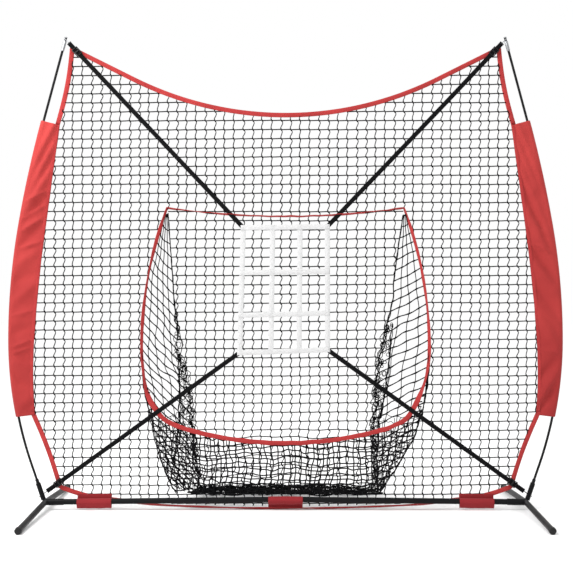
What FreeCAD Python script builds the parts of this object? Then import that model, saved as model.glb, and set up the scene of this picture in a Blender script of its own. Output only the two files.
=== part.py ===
import FreeCAD, Part
import os
from math import asin, atan2, ceil, cos, degrees, hypot, pi, radians, sin, sqrt, tan
from FreeCAD import Matrix, Placement, Rotation, Vector

# Pitching target net: a steel base, two bowed fibreglass poles, a knotted net
# hung between them, and a webbing target strapped in front of the net's pocket.
# Millimetres. +X is the right-hand side seen by the pitcher, who stands at -Y.
# +Z is up, and the ground is Z = 0. The base bar lies along X, above Y = 0.

# Steel base
HUB_X = 932.0            # centre of each foot tube, from the middle of the net
HUB_Z = 31.0             # axis height of the foot tube at its bend
FOOT_REACH = 540.0       # hub to the outer face of an end cap, each way
TUBE_D = 22.0            # foot tubes and base bar
TUBE_WALL = 1.2
CAP_D = 26.0
CAP_LENGTH = 24.0
CAP_END = 2.5            # thickness of the cap's closed end
CAP_FLAT = 0.8           # depth of the flat that stands on the ground
CAP_CLEARANCE = 0.1
BAR_ARCH = 10.0          # rise of each half of the bar, from the hub to the middle
STUB_D = 25.4            # short tube welded to the foot, takes the bar
STUB_CLEARANCE = 0.25
STUB_REACH = 71.0        # hub centre to the stub's mouth
BAR_INSERT = 48.0        # length of bar inside the stub
BUTT_GAP = 0.4           # between the two halves of the bar
SPIGOT_HALF = 80.0       # inner tube joining the halves, each way
SPIGOT_CLEARANCE = 0.15

# Snap buttons that lock the bar
BUTTON_D = 6.2
BUTTON_HOLE_D = 6.7
BUTTON_PROUD = 2.0       # above the outermost tube
BUTTON_FROM_MOUTH = 20.0
MIDDLE_BUTTON_X = -40.0
LEAF_THICK = 0.6
LEAF_WIDTH = 7.0
LEAF_LENGTH = 34.0
LEAF_GAP = 0.3           # leaf to the tube's wall, round the button
LEAF_REST = 0.05         # leaf to the button, and to the far wall

# Poles, in the plane of the net
NET_Y = 18.0             # plane of the net and the poles, behind the bar
SOCKET_OFFSET = 7.0      # pole's foot point, outwards from the hub centre
SOCKET_D = 19.0
SOCKET_WALL = 2.4
SOCKET_START = 6.0       # along the pole, from its foot point
SOCKET_END = 75.0
POLE_D = 9.5
POLE_START = 20.0
FOOT_LEAN = 19.0         # degrees out of vertical, outwards
MIDDLE_LEAN = 9.7        # inwards
TIP_LEAN = 15.0          # inwards
FOOT_STRAIGHT = 153.0
LOWER_BOW_R = 1488.0
MIDDLE_BOW_R = 2610.0
UPPER_BOW_R = 4650.0
TIP_STRAIGHT = 331.0     # last straight stretch, to the tip of the ferrule
FERRULE_BORE_CLEARANCE = 0.2  # round the upper rod
COLLAR_D = 13.6          # steel ferrule on the pole's foot
COLLAR_PROUD = 16.0      # above the socket
MIDDLE_FERRULE_D = 12.6
MIDDLE_FERRULE_LENGTH = 90.0
POLE_SPLIT = 925.0       # joint of the two pole sections, along the pole
LOWER_RUNS = 5           # straight runs that draw the bow below the middle ferrule
UPPER_RUNS = 2
TIP_FERRULE_D = 13.6
TIP_FERRULE_LENGTH = 40.0
TIP_NECK_D = 8.0
TIP_NECK = 12.0
TIP_HEAD_D = 12.0
TIP_HEAD = 4.0

# Net and its sewn edges
NET_THICK = 3.0
MESH_PITCH = 220.2       # the real cords lie 36.7 apart, drawn one in six
MESH_CORD = 7.0
MESH_MIN_GAP = 2500.0    # smallest hole in mm2 that is worth cutting
CLOTH = 1.0
SEAM = 0.3               # gap between two sewn layers
TAPE = 18.0              # width of the edge tape
CORNER_FROM_TIP_X = 17.0
CORNER_FROM_TIP_Z = 33.0
CORNER_FROM_HUB_X = 47.0
CORNER_FROM_HUB_Z = 51.0
TOP_SAG = 262.0          # corner height less the height at the middle
TOP_SLOPE = 26.5         # degrees, where the top edge runs straight to the corner
BOTTOM_CLEAR = 4.0       # lowest edge above the ground
BOTTOM_RISE = 25.0       # of the shallow middle stretch
BOTTOM_FLAT_HALF = 675.0
SLEEVE_START = 355.0     # along the pole
SLEEVE_END = 1510.0
SLEEVE_BOTTOM = 47.0     # pole axis to the net's outer edge
SLEEVE_MIDDLE = 82.0
SLEEVE_TOP = 47.0
SLEEVE_SPARE = 9.0       # reach of the sleeve's cutting face past the edge tape
CHANNEL_D = 19.0         # across the flats of the cloth's six-sided channel
CHANNEL_SIDES = 6

# Pocket behind the net
MOUTH_TOP_HALF = 461.0
MOUTH_TOP_Z = 1173.0
MOUTH_TOP_SAG = 33.0
MOUTH_WIDE_HALF = 560.0
MOUTH_WIDE_Z = 627.0
MOUTH_LOW_HALF = 469.0
MOUTH_LOW_Z = 347.0
RIM_HALF = 401.0
RIM_Z = 316.0
RIM_SAG = 58.5
RIM_CORNER_SAG = 6.0     # of the short arcs at the mouth's lower corners
RIM_TAPE = 14.0
RIM_TAPE_THICK = 2.4
FRONT_PROUD = 54.0       # the pocket's front beside the mouth's lower corner
FRONT_DROP = 2.0
FRONT_FOOT_HALF = 385.0
FRONT_FOOT_Z = 62.0
BACK_TOP_HALF = 458.0
BACK_FOOT_HALF = 366.0
BACK_FOOT_Y = 350.0
BACK_FOOT_Z = 50.0
FLOOR_INSET = 6.0        # each side of the pocket's floor, inside its side nets
FLOOR_LOW = 16.0         # underside of its rear edge, which meets the heaped net
GATHER_HALF = 385.0
GATHER_R = 22.0
GATHER_LOW = 1.0         # underside above the ground
GATHER_LUMPS = 9
GATHER_SIDES = 8
GATHER_SWELL = 0.14      # share of the radius by which it swells and shrinks
GATHER_END = 0.55        # size of its ends, as a share

# Target in front of the pocket
TARGET_WIDTH = 354.0
TARGET_HEIGHT = 502.0
TARGET_Z = 857.0
TARGET_Y = 7.5
TARGET_COUNT = 3         # windows each way
WEBBING = 20.0
WEBBING_THICK = 1.5
STRAP = 17.5
STRAP_LAP = 14.0         # strap sewn behind the target's corner
BUCKLE_LENGTH = 34.0
BUCKLE_RAIL = 4.0
BUCKLE_BAR = 5.0
BUCKLE_CLEARANCE = 0.4
BUCKLE_PLATE = 2.2
TOP_BUCKLE_FROM_END = 44.0
BOTTOM_BUCKLE_FROM_END = 52.0
HOOK_WIRE_D = 3.0        # across the flats of the drawn wire
WIRE_SIDES = 6
BIGHT_RUNS = 4
HOOK_CLEARANCE = 0.8
HOOK_LEG = 16.0
LOWER_HOOK_AT = 27.0     # along the pole, on its socket

# Cloth loops that hold the net's foot to the bar
TAB_X = 742.0
TAB_LENGTH = 134.0
TAB_OVER_TAPE = 5.0      # cloth above the net's edge tape
TAB_DROP = 26.0          # loop's lowest point below the bar's axis
MIDDLE_TAB_DROP = 20.0
TAB_END = 2.5            # half width of the loop's lower end, inside
LOOP_SIDES = 8           # of the cloth where it goes round the bar

NET_BACK = NET_Y + NET_THICK / 2
NET_FRONT = NET_Y - NET_THICK / 2
TAPE_FRONT = NET_FRONT - CLOTH
BAR_BUTTON_X = HUB_X - STUB_REACH + BUTTON_FROM_MOUTH
BAR_BORE = TUBE_D - 2 * TUBE_WALL
SPIGOT_D = BAR_BORE - 2 * SPIGOT_CLEARANCE
SPIGOT_BORE = SPIGOT_D - 2 * TUBE_WALL
GATHER_Y = BACK_FOOT_Y + GATHER_R
STRAP_Y = TARGET_Y + WEBBING_THICK + SEAM + WEBBING_THICK / 2
FRONT_BULGE_HALF = MOUTH_LOW_HALF + FRONT_PROUD
FRONT_BULGE_Z = MOUTH_LOW_Z - FRONT_DROP
CORNER_BOTTOM = (HUB_X - CORNER_FROM_HUB_X, HUB_Z + CORNER_FROM_HUB_Z)


def point(x, z, y=NET_Y):
    return Vector(x, y, z)


def mirrored(shape):
    return shape.mirror(Vector(0, 0, 0), Vector(1, 0, 0))


def line(a, b):
    return Part.LineSegment(a, b).toShape()


def arc(a, middle, b):
    return Part.Arc(a, middle, b).toShape()


def bulged(a, b, sagitta, y=NET_Y):
    # arc from a to b whose middle stands out by the sagitta, left of a to b
    (ax, az), (bx, bz) = a, b
    length = hypot(bx - ax, bz - az)
    mx = (ax + bx) / 2 - (bz - az) / length * sagitta
    mz = (az + bz) / 2 + (bx - ax) / length * sagitta
    return arc(point(ax, az, y), point(mx, mz, y), point(bx, bz, y))


def face_of(edges):
    return Part.Face(Part.Wire(Part.__sortEdges__(edges)))


def largest(shape):
    return max(shape.Faces, key=lambda face: face.Area)


def plate(face, y, thick):
    # a flat piece cut to a face drawn in the net's plane, standing at y to y + thick
    moved = face.translated(Vector(0, y - NET_Y, 0))
    return moved.extrude(Vector(0, thick, 0))


def save(name, shape):
    solids = shape.Solids
    result = solids[0] if len(solids) == 1 else Part.makeCompound(solids)
    result.exportStep("parts/" + name + ".step")
    print(name, len(solids), round(shape.Volume), shape.isValid())


def save_pair(name, shape):
    save("right_" + name, shape)
    save("left_" + name, mirrored(shape))


def ring(sides, size, centre, along):
    # closed outline square to a direction: a circle, or an even polygon of that
    # width across flats with a flat towards -Y
    circle = Part.makeCircle(size / 2, centre, along)
    if sides == 0:
        return Part.Wire([circle])
    across = Vector(0, 1, 0).cross(along).normalize()
    facing = along.cross(across).normalize()
    reach = size / 2 / cos(pi / sides)
    corners = []
    for i in range(sides + 1):
        turn = 2 * pi * (i + 0.5) / sides
        corners.append(centre + (facing * cos(turn) + across * sin(turn)) * reach)
    return Part.makePolygon(corners)


def swept(points, size, sides=0):
    # round or many-sided bar along straight runs with mitred corners
    path = Part.makePolygon(points)
    section = ring(sides, size, points[0], points[1] - points[0])
    return path.makePipeShell([section], True, False, 1)


def rod(start, along, diameter, length):
    return Part.makeCylinder(diameter / 2, length, start, along)


# Steel base

def foot_points():
    reach = FOOT_REACH - CAP_END
    low = HUB_Z - reach * tan(asin((HUB_Z - CAP_D / 2 + CAP_FLAT) / FOOT_REACH))
    return [Vector(HUB_X, -reach, low), Vector(HUB_X, 0, HUB_Z), Vector(HUB_X, reach, low)]


def foot():
    # bent tube with two sockets welded on: a stub for the bar and one for the pole
    along = bar_direction(1) * -1
    hub = Vector(HUB_X, 0, HUB_Z)
    stub = rod(hub, along, STUB_D, STUB_REACH)
    stub = stub.cut(rod(hub, along, TUBE_D + 2 * STUB_CLEARANCE, STUB_REACH))
    stub = stub.cut(button_hole(BAR_BUTTON_X, 1))
    socket = pole_tube(SOCKET_START, SOCKET_END, SOCKET_D, SOCKET_D - 2 * SOCKET_WALL)
    tube = swept(foot_points(), TUBE_D)
    welded = tube.multiFuse([stub, socket]).cut(swept(foot_points(), BAR_BORE))
    return max(welded.Solids, key=lambda solid: solid.Volume)


def end_caps():
    # cups pushed over the ends of a foot tube, flattened where they stand
    hub = Vector(HUB_X, 0, HUB_Z)
    caps = []
    for end in (foot_points()[0], foot_points()[2]):
        inwards = (hub - end).normalize()
        cup = rod(end - inwards * CAP_END, inwards, CAP_D, CAP_LENGTH)
        cup = cup.cut(rod(end, inwards, TUBE_D + 2 * CAP_CLEARANCE, CAP_LENGTH))
        ground = Part.makeBox(2 * CAP_D, 4 * FOOT_REACH, CAP_D,
                              Vector(HUB_X - CAP_D, -2 * FOOT_REACH, -CAP_D))
        caps.append(cup.cut(ground))
    return Part.makeCompound(caps)


def bar_direction(side):
    # outwards along one half of the bar, which falls from the middle to its hub
    return Vector(side * HUB_X, 0, -BAR_ARCH).normalize()


def bar_point(x):
    return Vector(x, 0, HUB_Z + BAR_ARCH * (1 - abs(x) / HUB_X))


def bar_slope(x):
    # how far the bar turns down towards +X there, in degrees
    if x == 0:
        return 0.0
    return degrees(atan2(BAR_ARCH, HUB_X)) * x / abs(x)


def button_hole(x, facing):
    # a round hole through one wall of the bar, at the back or underneath
    along = Vector(0, 1, 0) if facing > 0 else Vector(0, 0, -1)
    return rod(bar_point(x), along, BUTTON_HOLE_D, STUB_D)


def half_bar():
    ends = [bar_point(BUTT_GAP / 2), bar_point(HUB_X - STUB_REACH + BAR_INSERT)]
    bar = rod(ends[0], ends[1] - ends[0], TUBE_D, (ends[1] - ends[0]).Length)
    bar = bar.cut(rod(ends[0], ends[1] - ends[0], BAR_BORE, HUB_X))
    return bar.cut(button_hole(BAR_BUTTON_X, 1))


def spigot():
    points = [bar_point(x) for x in (-SPIGOT_HALF, 0, SPIGOT_HALF)]
    tube = swept(points, SPIGOT_D).cut(swept(points, SPIGOT_BORE))
    return tube.cut(button_hole(MIDDLE_BUTTON_X, -1))


def leaf_top(bore_d):
    # top of the leaf above the axis of the tube that it sits in
    return sqrt((bore_d / 2) ** 2 - (LEAF_WIDTH / 2) ** 2) - LEAF_GAP


def snap_button(x, bore_d, proud_at, facing):
    # pin riveted to a leaf, which stops it from inside the tube
    low = leaf_top(bore_d) + LEAF_REST
    pin = Part.makeCylinder(BUTTON_D / 2, proud_at + BUTTON_PROUD - low, Vector(0, 0, low))
    return to_bar(pin, x, facing)


def leaf_spring(x, bore_d, facing):
    # strip bent to a V: one arm under the button, the other on the far wall
    top = leaf_top(bore_d)
    bottom = -sqrt((bore_d / 2) ** 2 - (LEAF_WIDTH / 2) ** 2) + LEAF_REST
    start = -BUTTON_D / 2
    spread = atan2(top - bottom, LEAF_LENGTH)
    rise = LEAF_THICK / cos(spread)
    crotch = start + LEAF_LENGTH - (LEAF_THICK + rise) / tan(spread)
    corners = [(start, top), (start + LEAF_LENGTH, top), (start, bottom),
               (start, bottom + rise), (crotch, top - LEAF_THICK), (start, top - LEAF_THICK)]
    points = [Vector(along, -LEAF_WIDTH / 2, up) for along, up in corners]
    strip = Part.Face(Part.makePolygon(points + points[:1])).extrude(Vector(0, LEAF_WIDTH, 0))
    return to_bar(strip, x, facing)


def to_bar(shape, x, facing):
    # from a piece drawn pointing up +Z at the origin to its place in the bar
    turn = Rotation(Vector(1, 0, 0), -90) if facing > 0 else Rotation(Vector(1, 0, 0), 180)
    moved = shape.copy()
    sloped = Rotation(Vector(0, 1, 0), bar_slope(x))
    moved.Placement = Placement(bar_point(x), sloped.multiply(turn))
    return moved


def base():
    save_pair("foot", foot())
    save_pair("end_caps", end_caps())
    right_bar = half_bar()
    save("right_bar", right_bar)
    save("left_bar", mirrored(right_bar).cut(button_hole(MIDDLE_BUTTON_X, -1)))
    save("bar_spigot", spigot())
    save_pair("snap_button", snap_button(BAR_BUTTON_X, BAR_BORE, STUB_D / 2, 1))
    save_pair("button_spring", leaf_spring(BAR_BUTTON_X, BAR_BORE, 1))
    save("middle_snap_button", snap_button(MIDDLE_BUTTON_X, SPIGOT_BORE, TUBE_D / 2, -1))
    save("middle_button_spring", leaf_spring(MIDDLE_BUTTON_X, SPIGOT_BORE, -1))


# Poles

def pole_segments():
    # length and lean at both ends of each stretch, leans outwards in degrees
    def bow(radius, start, end):
        return (radius * radians(start - end), start, end)
    return [(FOOT_STRAIGHT, FOOT_LEAN, FOOT_LEAN),
            bow(LOWER_BOW_R, FOOT_LEAN, 0),
            bow(MIDDLE_BOW_R, 0, -MIDDLE_LEAN),
            bow(UPPER_BOW_R, -MIDDLE_LEAN, -TIP_LEAN),
            (TIP_STRAIGHT, -TIP_LEAN, -TIP_LEAN)]


def advance(x, z, length, start, end):
    if start == end:
        return x + length * sin(radians(start)), z + length * cos(radians(start))
    radius = length / radians(start - end)
    x += radius * (cos(radians(end)) - cos(radians(start)))
    z += radius * (sin(radians(start)) - sin(radians(end)))
    return x, z


def pole_at(s):
    # x, z and lean of the right-hand pole at s along it
    x, z = HUB_X + SOCKET_OFFSET, HUB_Z
    segments = pole_segments()
    for length, start, end in segments:
        if s <= length or (length, start, end) == segments[-1]:
            lean = start + (end - start) * s / length
            x, z = advance(x, z, s, start, lean)
            return x, z, lean
        x, z = advance(x, z, length, start, end)
        s -= length


def pole_length():
    return sum(segment[0] for segment in pole_segments())


def pole_point(s, inwards=0.0):
    # a point beside the pole's axis, inwards square to it
    x, z, lean = pole_at(s)
    return x - inwards * cos(radians(lean)), z + inwards * sin(radians(lean))


def pole_marks():
    # ends of the straight runs that draw the pole; one holds the middle ferrule
    bow_end = pole_length() - TIP_STRAIGHT
    half = MIDDLE_FERRULE_LENGTH / 2 + MIDDLE_FERRULE_D
    marks = [0.0]
    for start, end, runs in ((FOOT_STRAIGHT, POLE_SPLIT - half, LOWER_RUNS),
                             (POLE_SPLIT + half, bow_end, UPPER_RUNS)):
        marks += [start + (end - start) * i / runs for i in range(runs + 1)]
    return marks + [pole_length()]


def on_pole(s):
    # point of the drawn pole's axis, and the direction of its run
    marks = pole_marks()
    index = max(i for i in range(len(marks) - 1) if marks[i] <= s)
    low, high = point(*pole_point(marks[index])), point(*pole_point(marks[index + 1]))
    share = (s - marks[index]) / (marks[index + 1] - marks[index])
    return low + (high - low) * share, (high - low).normalize()


def pole_points(s0, s1):
    return [on_pole(s)[0] for s in [s0] + [s for s in pole_marks() if s0 < s < s1] + [s1]]


def pole_tube(s0, s1, outer, inner):
    # straight sleeve on one run of the pole
    return on_run(s0, s1, outer).cut(on_run(s0, s1, inner))


def on_run(s0, s1, size):
    start, along = on_pole(s0)
    return rod(start, along, size, s1 - s0)


def tip_start():
    return pole_length() - TIP_FERRULE_LENGTH - TIP_NECK - TIP_HEAD


def lower_pole():
    # rod with a steel collar at its foot, and the ferrule that takes the upper rod
    half = MIDDLE_FERRULE_LENGTH / 2
    rod_part = swept(pole_points(POLE_START, POLE_SPLIT), POLE_D)
    collar = on_run(POLE_START, SOCKET_END + COLLAR_PROUD, COLLAR_D)
    ferrule = on_run(POLE_SPLIT - half, POLE_SPLIT + half, MIDDLE_FERRULE_D)
    bore = on_run(POLE_SPLIT, POLE_SPLIT + MIDDLE_FERRULE_LENGTH,
                  POLE_D + 2 * FERRULE_BORE_CLEARANCE)
    return rod_part.multiFuse([collar, ferrule]).cut(bore)


def upper_pole():
    # rod with a turned aluminium end: a tube, a neck for the hook and a head
    tube_end = tip_start() + TIP_FERRULE_LENGTH
    neck_end = tube_end + TIP_NECK
    rod_part = swept(pole_points(POLE_SPLIT + SEAM, tube_end), POLE_D)
    tube = on_run(tip_start(), tube_end, TIP_FERRULE_D)
    neck = on_run(tube_end, neck_end, TIP_NECK_D)
    head = on_run(neck_end, neck_end + TIP_HEAD, TIP_HEAD_D)
    return rod_part.multiFuse([tube, neck, head])


def poles():
    save_pair("lower_pole", lower_pole())
    save_pair("upper_pole", upper_pole())


# Net

def top_corner():
    x, z = pole_point(pole_length())
    return x - CORNER_FROM_TIP_X, z - CORNER_FROM_TIP_Z


def sleeve_points():
    middle = (SLEEVE_START + SLEEVE_END) / 2
    return [pole_point(SLEEVE_START, SLEEVE_BOTTOM), pole_point(middle, SLEEVE_MIDDLE),
            pole_point(SLEEVE_END, SLEEVE_TOP)]


def top_edge():
    # an arc across the middle, then straight up to each corner
    x, z = top_corner()
    slope = radians(TOP_SLOPE)
    # radius at which arc and tangent lines together rise by the sag
    radius = (x * tan(slope) - TOP_SAG) / (1 / cos(slope) - 1)
    turn_x = radius * sin(slope)
    low = z - TOP_SAG
    turn_z = low + radius * (1 - cos(slope))
    return [line(point(x, z), point(turn_x, turn_z)),
            arc(point(turn_x, turn_z), point(0, low), point(-turn_x, turn_z)),
            line(point(-turn_x, turn_z), point(-x, z))]


def bottom_edge():
    # nearly flat behind the bar, then curling up to each corner
    x, z = CORNER_BOTTOM
    flat_x, flat_z = BOTTOM_FLAT_HALF, BOTTOM_CLEAR + BOTTOM_RISE
    slope = 2 * atan2(BOTTOM_RISE, flat_x)
    chord = atan2(z - flat_z, x - flat_x)
    length = hypot(x - flat_x, z - flat_z)
    sagitta = length / 2 * sin(chord - slope) / (1 + cos(chord - slope))
    right = bulged((flat_x, flat_z), (x, z), -sagitta)
    left = bulged((-x, z), (-flat_x, flat_z), -sagitta)
    middle = arc(point(-flat_x, flat_z), point(0, BOTTOM_CLEAR), point(flat_x, flat_z))
    return [left, middle, right]


def side_edge(side):
    low, middle, high = [(side * x, z) for x, z in sleeve_points()]
    corner, top = CORNER_BOTTOM, top_corner()
    return [line(point(side * corner[0], corner[1]), point(*low)),
            arc(point(*low), point(*middle), point(*high)),
            line(point(*high), point(side * top[0], top[1]))]


def outline():
    return face_of(top_edge() + side_edge(1) + bottom_edge() + side_edge(-1))


def mouth():
    # rim of the pocket: sagging top, bowed sides, deep lower edge
    right_edges = [
        tangent_bow((MOUTH_TOP_HALF, MOUTH_TOP_Z), (MOUTH_WIDE_HALF, MOUTH_WIDE_Z)),
        tangent_bow((MOUTH_LOW_HALF, MOUTH_LOW_Z), (MOUTH_WIDE_HALF, MOUTH_WIDE_Z)),
        bulged((MOUTH_LOW_HALF, MOUTH_LOW_Z), (RIM_HALF, RIM_Z), -RIM_CORNER_SAG)]
    left_edges = [mirrored(edge) for edge in right_edges]
    rim = arc(point(-RIM_HALF, RIM_Z), point(0, RIM_Z - RIM_SAG), point(RIM_HALF, RIM_Z))
    return face_of(right_edges + left_edges + [mouth_top(), rim])


def mouth_top():
    return arc(point(-MOUTH_TOP_HALF, MOUTH_TOP_Z), point(0, MOUTH_TOP_Z - MOUTH_TOP_SAG),
               point(MOUTH_TOP_HALF, MOUTH_TOP_Z))


def tangent_bow(end, widest):
    # arc that stands upright at its widest point and ends at the other
    (x, z), (wide_x, wide_z) = end, widest
    dx, dz = wide_x - x, z - wide_z
    radius = (dx ** 2 + dz ** 2) / (2 * dx)
    half = asin(dz / radius) / 2
    middle = point(wide_x - radius * (1 - cos(half)), wide_z + radius * sin(half))
    return arc(point(x, z), middle, point(wide_x, wide_z))


def pocket_cut_out():
    # hole of the main net: the mouth's upper half and the pocket's front below it
    upper = tangent_bow((MOUTH_TOP_HALF, MOUTH_TOP_Z), (MOUTH_WIDE_HALF, MOUTH_WIDE_Z))
    foot = line(point(FRONT_FOOT_HALF, FRONT_FOOT_Z), point(-FRONT_FOOT_HALF, FRONT_FOOT_Z))
    right_edges = [upper, front_side()]
    return face_of(right_edges + [mirrored(edge) for edge in right_edges] + [mouth_top(), foot])


def front_side():
    return arc(point(MOUTH_WIDE_HALF, MOUTH_WIDE_Z), point(FRONT_BULGE_HALF, FRONT_BULGE_Z),
               point(FRONT_FOOT_HALF, FRONT_FOOT_Z))


def lower_pocket():
    # everything of the pocket's front below the mouth's widest line
    wide = point(MOUTH_WIDE_HALF, MOUTH_WIDE_Z), point(-MOUTH_WIDE_HALF, MOUTH_WIDE_Z)
    foot = point(FRONT_FOOT_HALF, FRONT_FOOT_Z), point(-FRONT_FOOT_HALF, FRONT_FOOT_Z)
    return face_of([line(*wide), front_side(), line(*foot), mirrored(front_side())])


def mesh_holes(face):
    # square gaps between the cords, clipped to a face of the net
    box = face.BoundBox
    columns = ceil(box.XMax / MESH_PITCH)
    rows = ceil(box.ZLength / MESH_PITCH)
    gap = MESH_PITCH - MESH_CORD
    holes = []
    for i in range(-columns, columns):
        for j in range(rows):
            x = i * MESH_PITCH + MESH_CORD / 2
            z = box.ZMax - (j + 1) * MESH_PITCH + MESH_CORD / 2
            clipped = square(x, z, gap).common(face)
            holes += [hole for hole in clipped.Faces if hole.Area > MESH_MIN_GAP]
    return holes


def square(x, z, size):
    corners = [point(x, z), point(x + size, z), point(x + size, z + size), point(x, z + size)]
    return Part.Face(Part.makePolygon(corners + corners[:1]))


def net():
    whole = outline()
    taped = whole.makeOffset2D(-TAPE, 2)
    inner = whole.makeOffset2D(-TAPE - SEAM, 2)
    cut_out = pocket_cut_out()
    body = inner.cut(cut_out)
    body_inset = largest(inner.makeOffset2D(-MESH_CORD).cut(cut_out.makeOffset2D(RIM_TAPE)))
    holes = mesh_holes(body_inset)
    print("main net gaps", len(holes))
    save("main_net", plate(body.cut(Part.makeCompound(holes)), NET_FRONT, NET_THICK))

    tape = plate(whole.cut(taped), TAPE_FRONT - SEAM, NET_THICK + 2 * CLOTH + 2 * SEAM)
    beside_pole = sleeve_web_face()
    for face in (beside_pole, mirrored(beside_pole)):
        tape = tape.cut(plate(face, 0, 2 * NET_Y))
    parts = sorted(tape.Solids, key=lambda solid: solid.CenterOfMass.z)
    save("bottom_binding", parts[0])
    save("top_binding", parts[-1])

    save_pair("sleeve", sleeve(taped))
    save("mouth_binding", mouth_binding())
    pocket(cut_out)


def sleeve_web_face():
    # from the pole's axis to a little past the inner side of the edge tape
    extra = TAPE + SLEEVE_SPARE
    low = point(*pole_point(SLEEVE_START, SLEEVE_BOTTOM + extra))
    high = point(*pole_point(SLEEVE_END, SLEEVE_TOP + extra))
    middle_s = (SLEEVE_START + SLEEVE_END) / 2
    middle = point(*pole_point(middle_s, SLEEVE_MIDDLE + extra))
    runs = pole_points(SLEEVE_START, SLEEVE_END)
    edges = [line(a, b) for a, b in zip(runs, runs[1:])]
    return face_of(edges + [line(runs[-1], high), arc(high, middle, low), line(low, runs[0])])


def sleeve(taped):
    # doubled cloth from the net's edge, wrapped round the pole as a channel
    web = sleeve_web_face().cut(taped)
    flat = plate(web, NET_Y - CLOTH, 2 * CLOTH)
    runs = pole_points(SLEEVE_START, SLEEVE_END)
    channel = swept(runs, CHANNEL_D, CHANNEL_SIDES)
    runs = pole_points(SLEEVE_START - TAPE, SLEEVE_END + TAPE)
    return flat.fuse(channel).cut(swept(runs, CHANNEL_D - 2 * CLOTH, CHANNEL_SIDES))


def mouth_binding():
    opening = mouth()
    band = opening.makeOffset2D(RIM_TAPE / 2).cut(opening.makeOffset2D(-RIM_TAPE / 2))
    return plate(band, NET_FRONT - SEAM - RIM_TAPE_THICK, RIM_TAPE_THICK)


# Pocket

def back_top():
    return MOUTH_TOP_Z - MOUTH_TOP_SAG


def back_pull():
    # how far the pocket's back leans away for each millimetre down
    return (BACK_FOOT_Y - NET_BACK) / (back_top() - BACK_FOOT_Z)


def back_point(x, drop):
    # a point of the pocket's sloping back, drop below the middle of its top edge
    return Vector(x, NET_BACK + SEAM + drop * back_pull(), back_top() - drop)


def back_net():
    top = back_top()
    x, low_x = BACK_TOP_HALF, BACK_FOOT_HALF
    edges = [arc(point(-x, top), point(0, top - MOUTH_TOP_SAG / 2), point(x, top)),
             line(point(x, top), point(low_x, BACK_FOOT_Z)),
             line(point(low_x, BACK_FOOT_Z), point(-low_x, BACK_FOOT_Z)),
             line(point(-low_x, BACK_FOOT_Z), point(-x, top))]
    face = face_of(edges)
    holes = mesh_holes(face.makeOffset2D(-MESH_CORD))
    print("pocket back gaps", len(holes))
    sheet = plate(face.cut(Part.makeCompound(holes)), NET_BACK + SEAM, NET_THICK)
    return leaned(sheet)


def leaned(sheet):
    # shears an upright sheet back, so that its foot stands at BACK_FOOT_Y
    shear = Matrix()
    shear.A23 = -back_pull()
    shear.A24 = back_pull() * back_top()
    return sheet.transformGeometry(shear)


def side_net():
    # flat panels from the rim of the net to the seam of the pocket's back
    upper = tangent_bow((MOUTH_TOP_HALF, MOUTH_TOP_Z), (MOUTH_WIDE_HALF, MOUTH_WIDE_Z))
    rim = upper.discretize(3)[:-1] + front_side().discretize(4)
    front, rear = [], []
    for corner in rim:
        share = (rim[0].z - corner.z) / (rim[0].z - rim[-1].z)
        seam_x = BACK_TOP_HALF + (BACK_FOOT_HALF - BACK_TOP_HALF) * share + SEAM
        front.append(Vector(corner.x, NET_BACK + SEAM, corner.z))
        rear.append(back_point(seam_x, share * (back_top() - BACK_FOOT_Z)))
    panels = []
    for i in range(len(rim) - 1):
        panels.append([front[i], front[i + 1], rear[i + 1]])
        if (rear[i] - front[i]).Length > NET_THICK:
            panels.append([front[i], rear[i + 1], rear[i]])
    solids = []
    for corners in panels:
        face = Part.Face(Part.makePolygon(corners + corners[:1]))
        solids.append(face.extrude(Vector(NET_THICK, 0, 0)))
    return solids[0].multiFuse(solids[1:]).cut(side_gaps())


def side_gaps():
    # bars along X that cut the mesh out of the slanting side
    gap = MESH_PITCH - MESH_CORD
    y0 = NET_BACK + SEAM + MESH_CORD
    bars = []
    for row in range(1, ceil(back_top() / MESH_PITCH)):
        z = FRONT_FOOT_Z + row * MESH_PITCH
        rear = back_point(0, back_top() - z - gap).y - MESH_CORD
        for column in range(ceil((rear - y0) / MESH_PITCH)):
            y = y0 + column * MESH_PITCH
            depth = min(gap, rear - y)
            if depth > 3 * MESH_CORD:
                bars.append(Part.makeBox(2 * MOUTH_WIDE_HALF, depth, gap, Vector(0, y, z)))
    print("pocket side gaps", len(bars))
    return Part.makeCompound(bars)


def floor_net():
    # from the foot of the front panel down to the ground behind it
    y0, y1 = NET_BACK + SEAM, BACK_FOOT_Y - SEAM
    x0, x1 = FRONT_FOOT_HALF - FLOOR_INSET, BACK_FOOT_HALF - FLOOR_INSET
    z0, z1 = FRONT_FOOT_Z, FLOOR_LOW
    ends = [(-x0, y0, z0), (x0, y0, z0), (x1, y1, z1), (-x1, y1, z1)]
    corners = [Vector(*end) for end in ends]
    edges = [line(a, b) for a, b in zip(corners, corners[1:] + corners[:1])]
    face = Part.Face(Part.Wire(edges))
    bars = []
    columns = ceil(BACK_FOOT_HALF / MESH_PITCH)
    gap = MESH_PITCH - MESH_CORD
    for i in range(-columns, columns):
        for j in range(ceil((y1 - y0) / MESH_PITCH)):
            x, y = i * MESH_PITCH + MESH_CORD / 2, y0 + MESH_CORD + j * MESH_PITCH
            depth = min(gap, y1 - MESH_CORD - y)
            if max(abs(x), abs(x + gap)) < x1 - MESH_CORD and depth > 2 * MESH_CORD:
                bars.append(Part.makeBox(gap, depth, 4 * z0, Vector(x, y, -z0)))
    return face.cut(Part.makeCompound(bars)).extrude(Vector(0, 0, NET_THICK))


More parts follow.
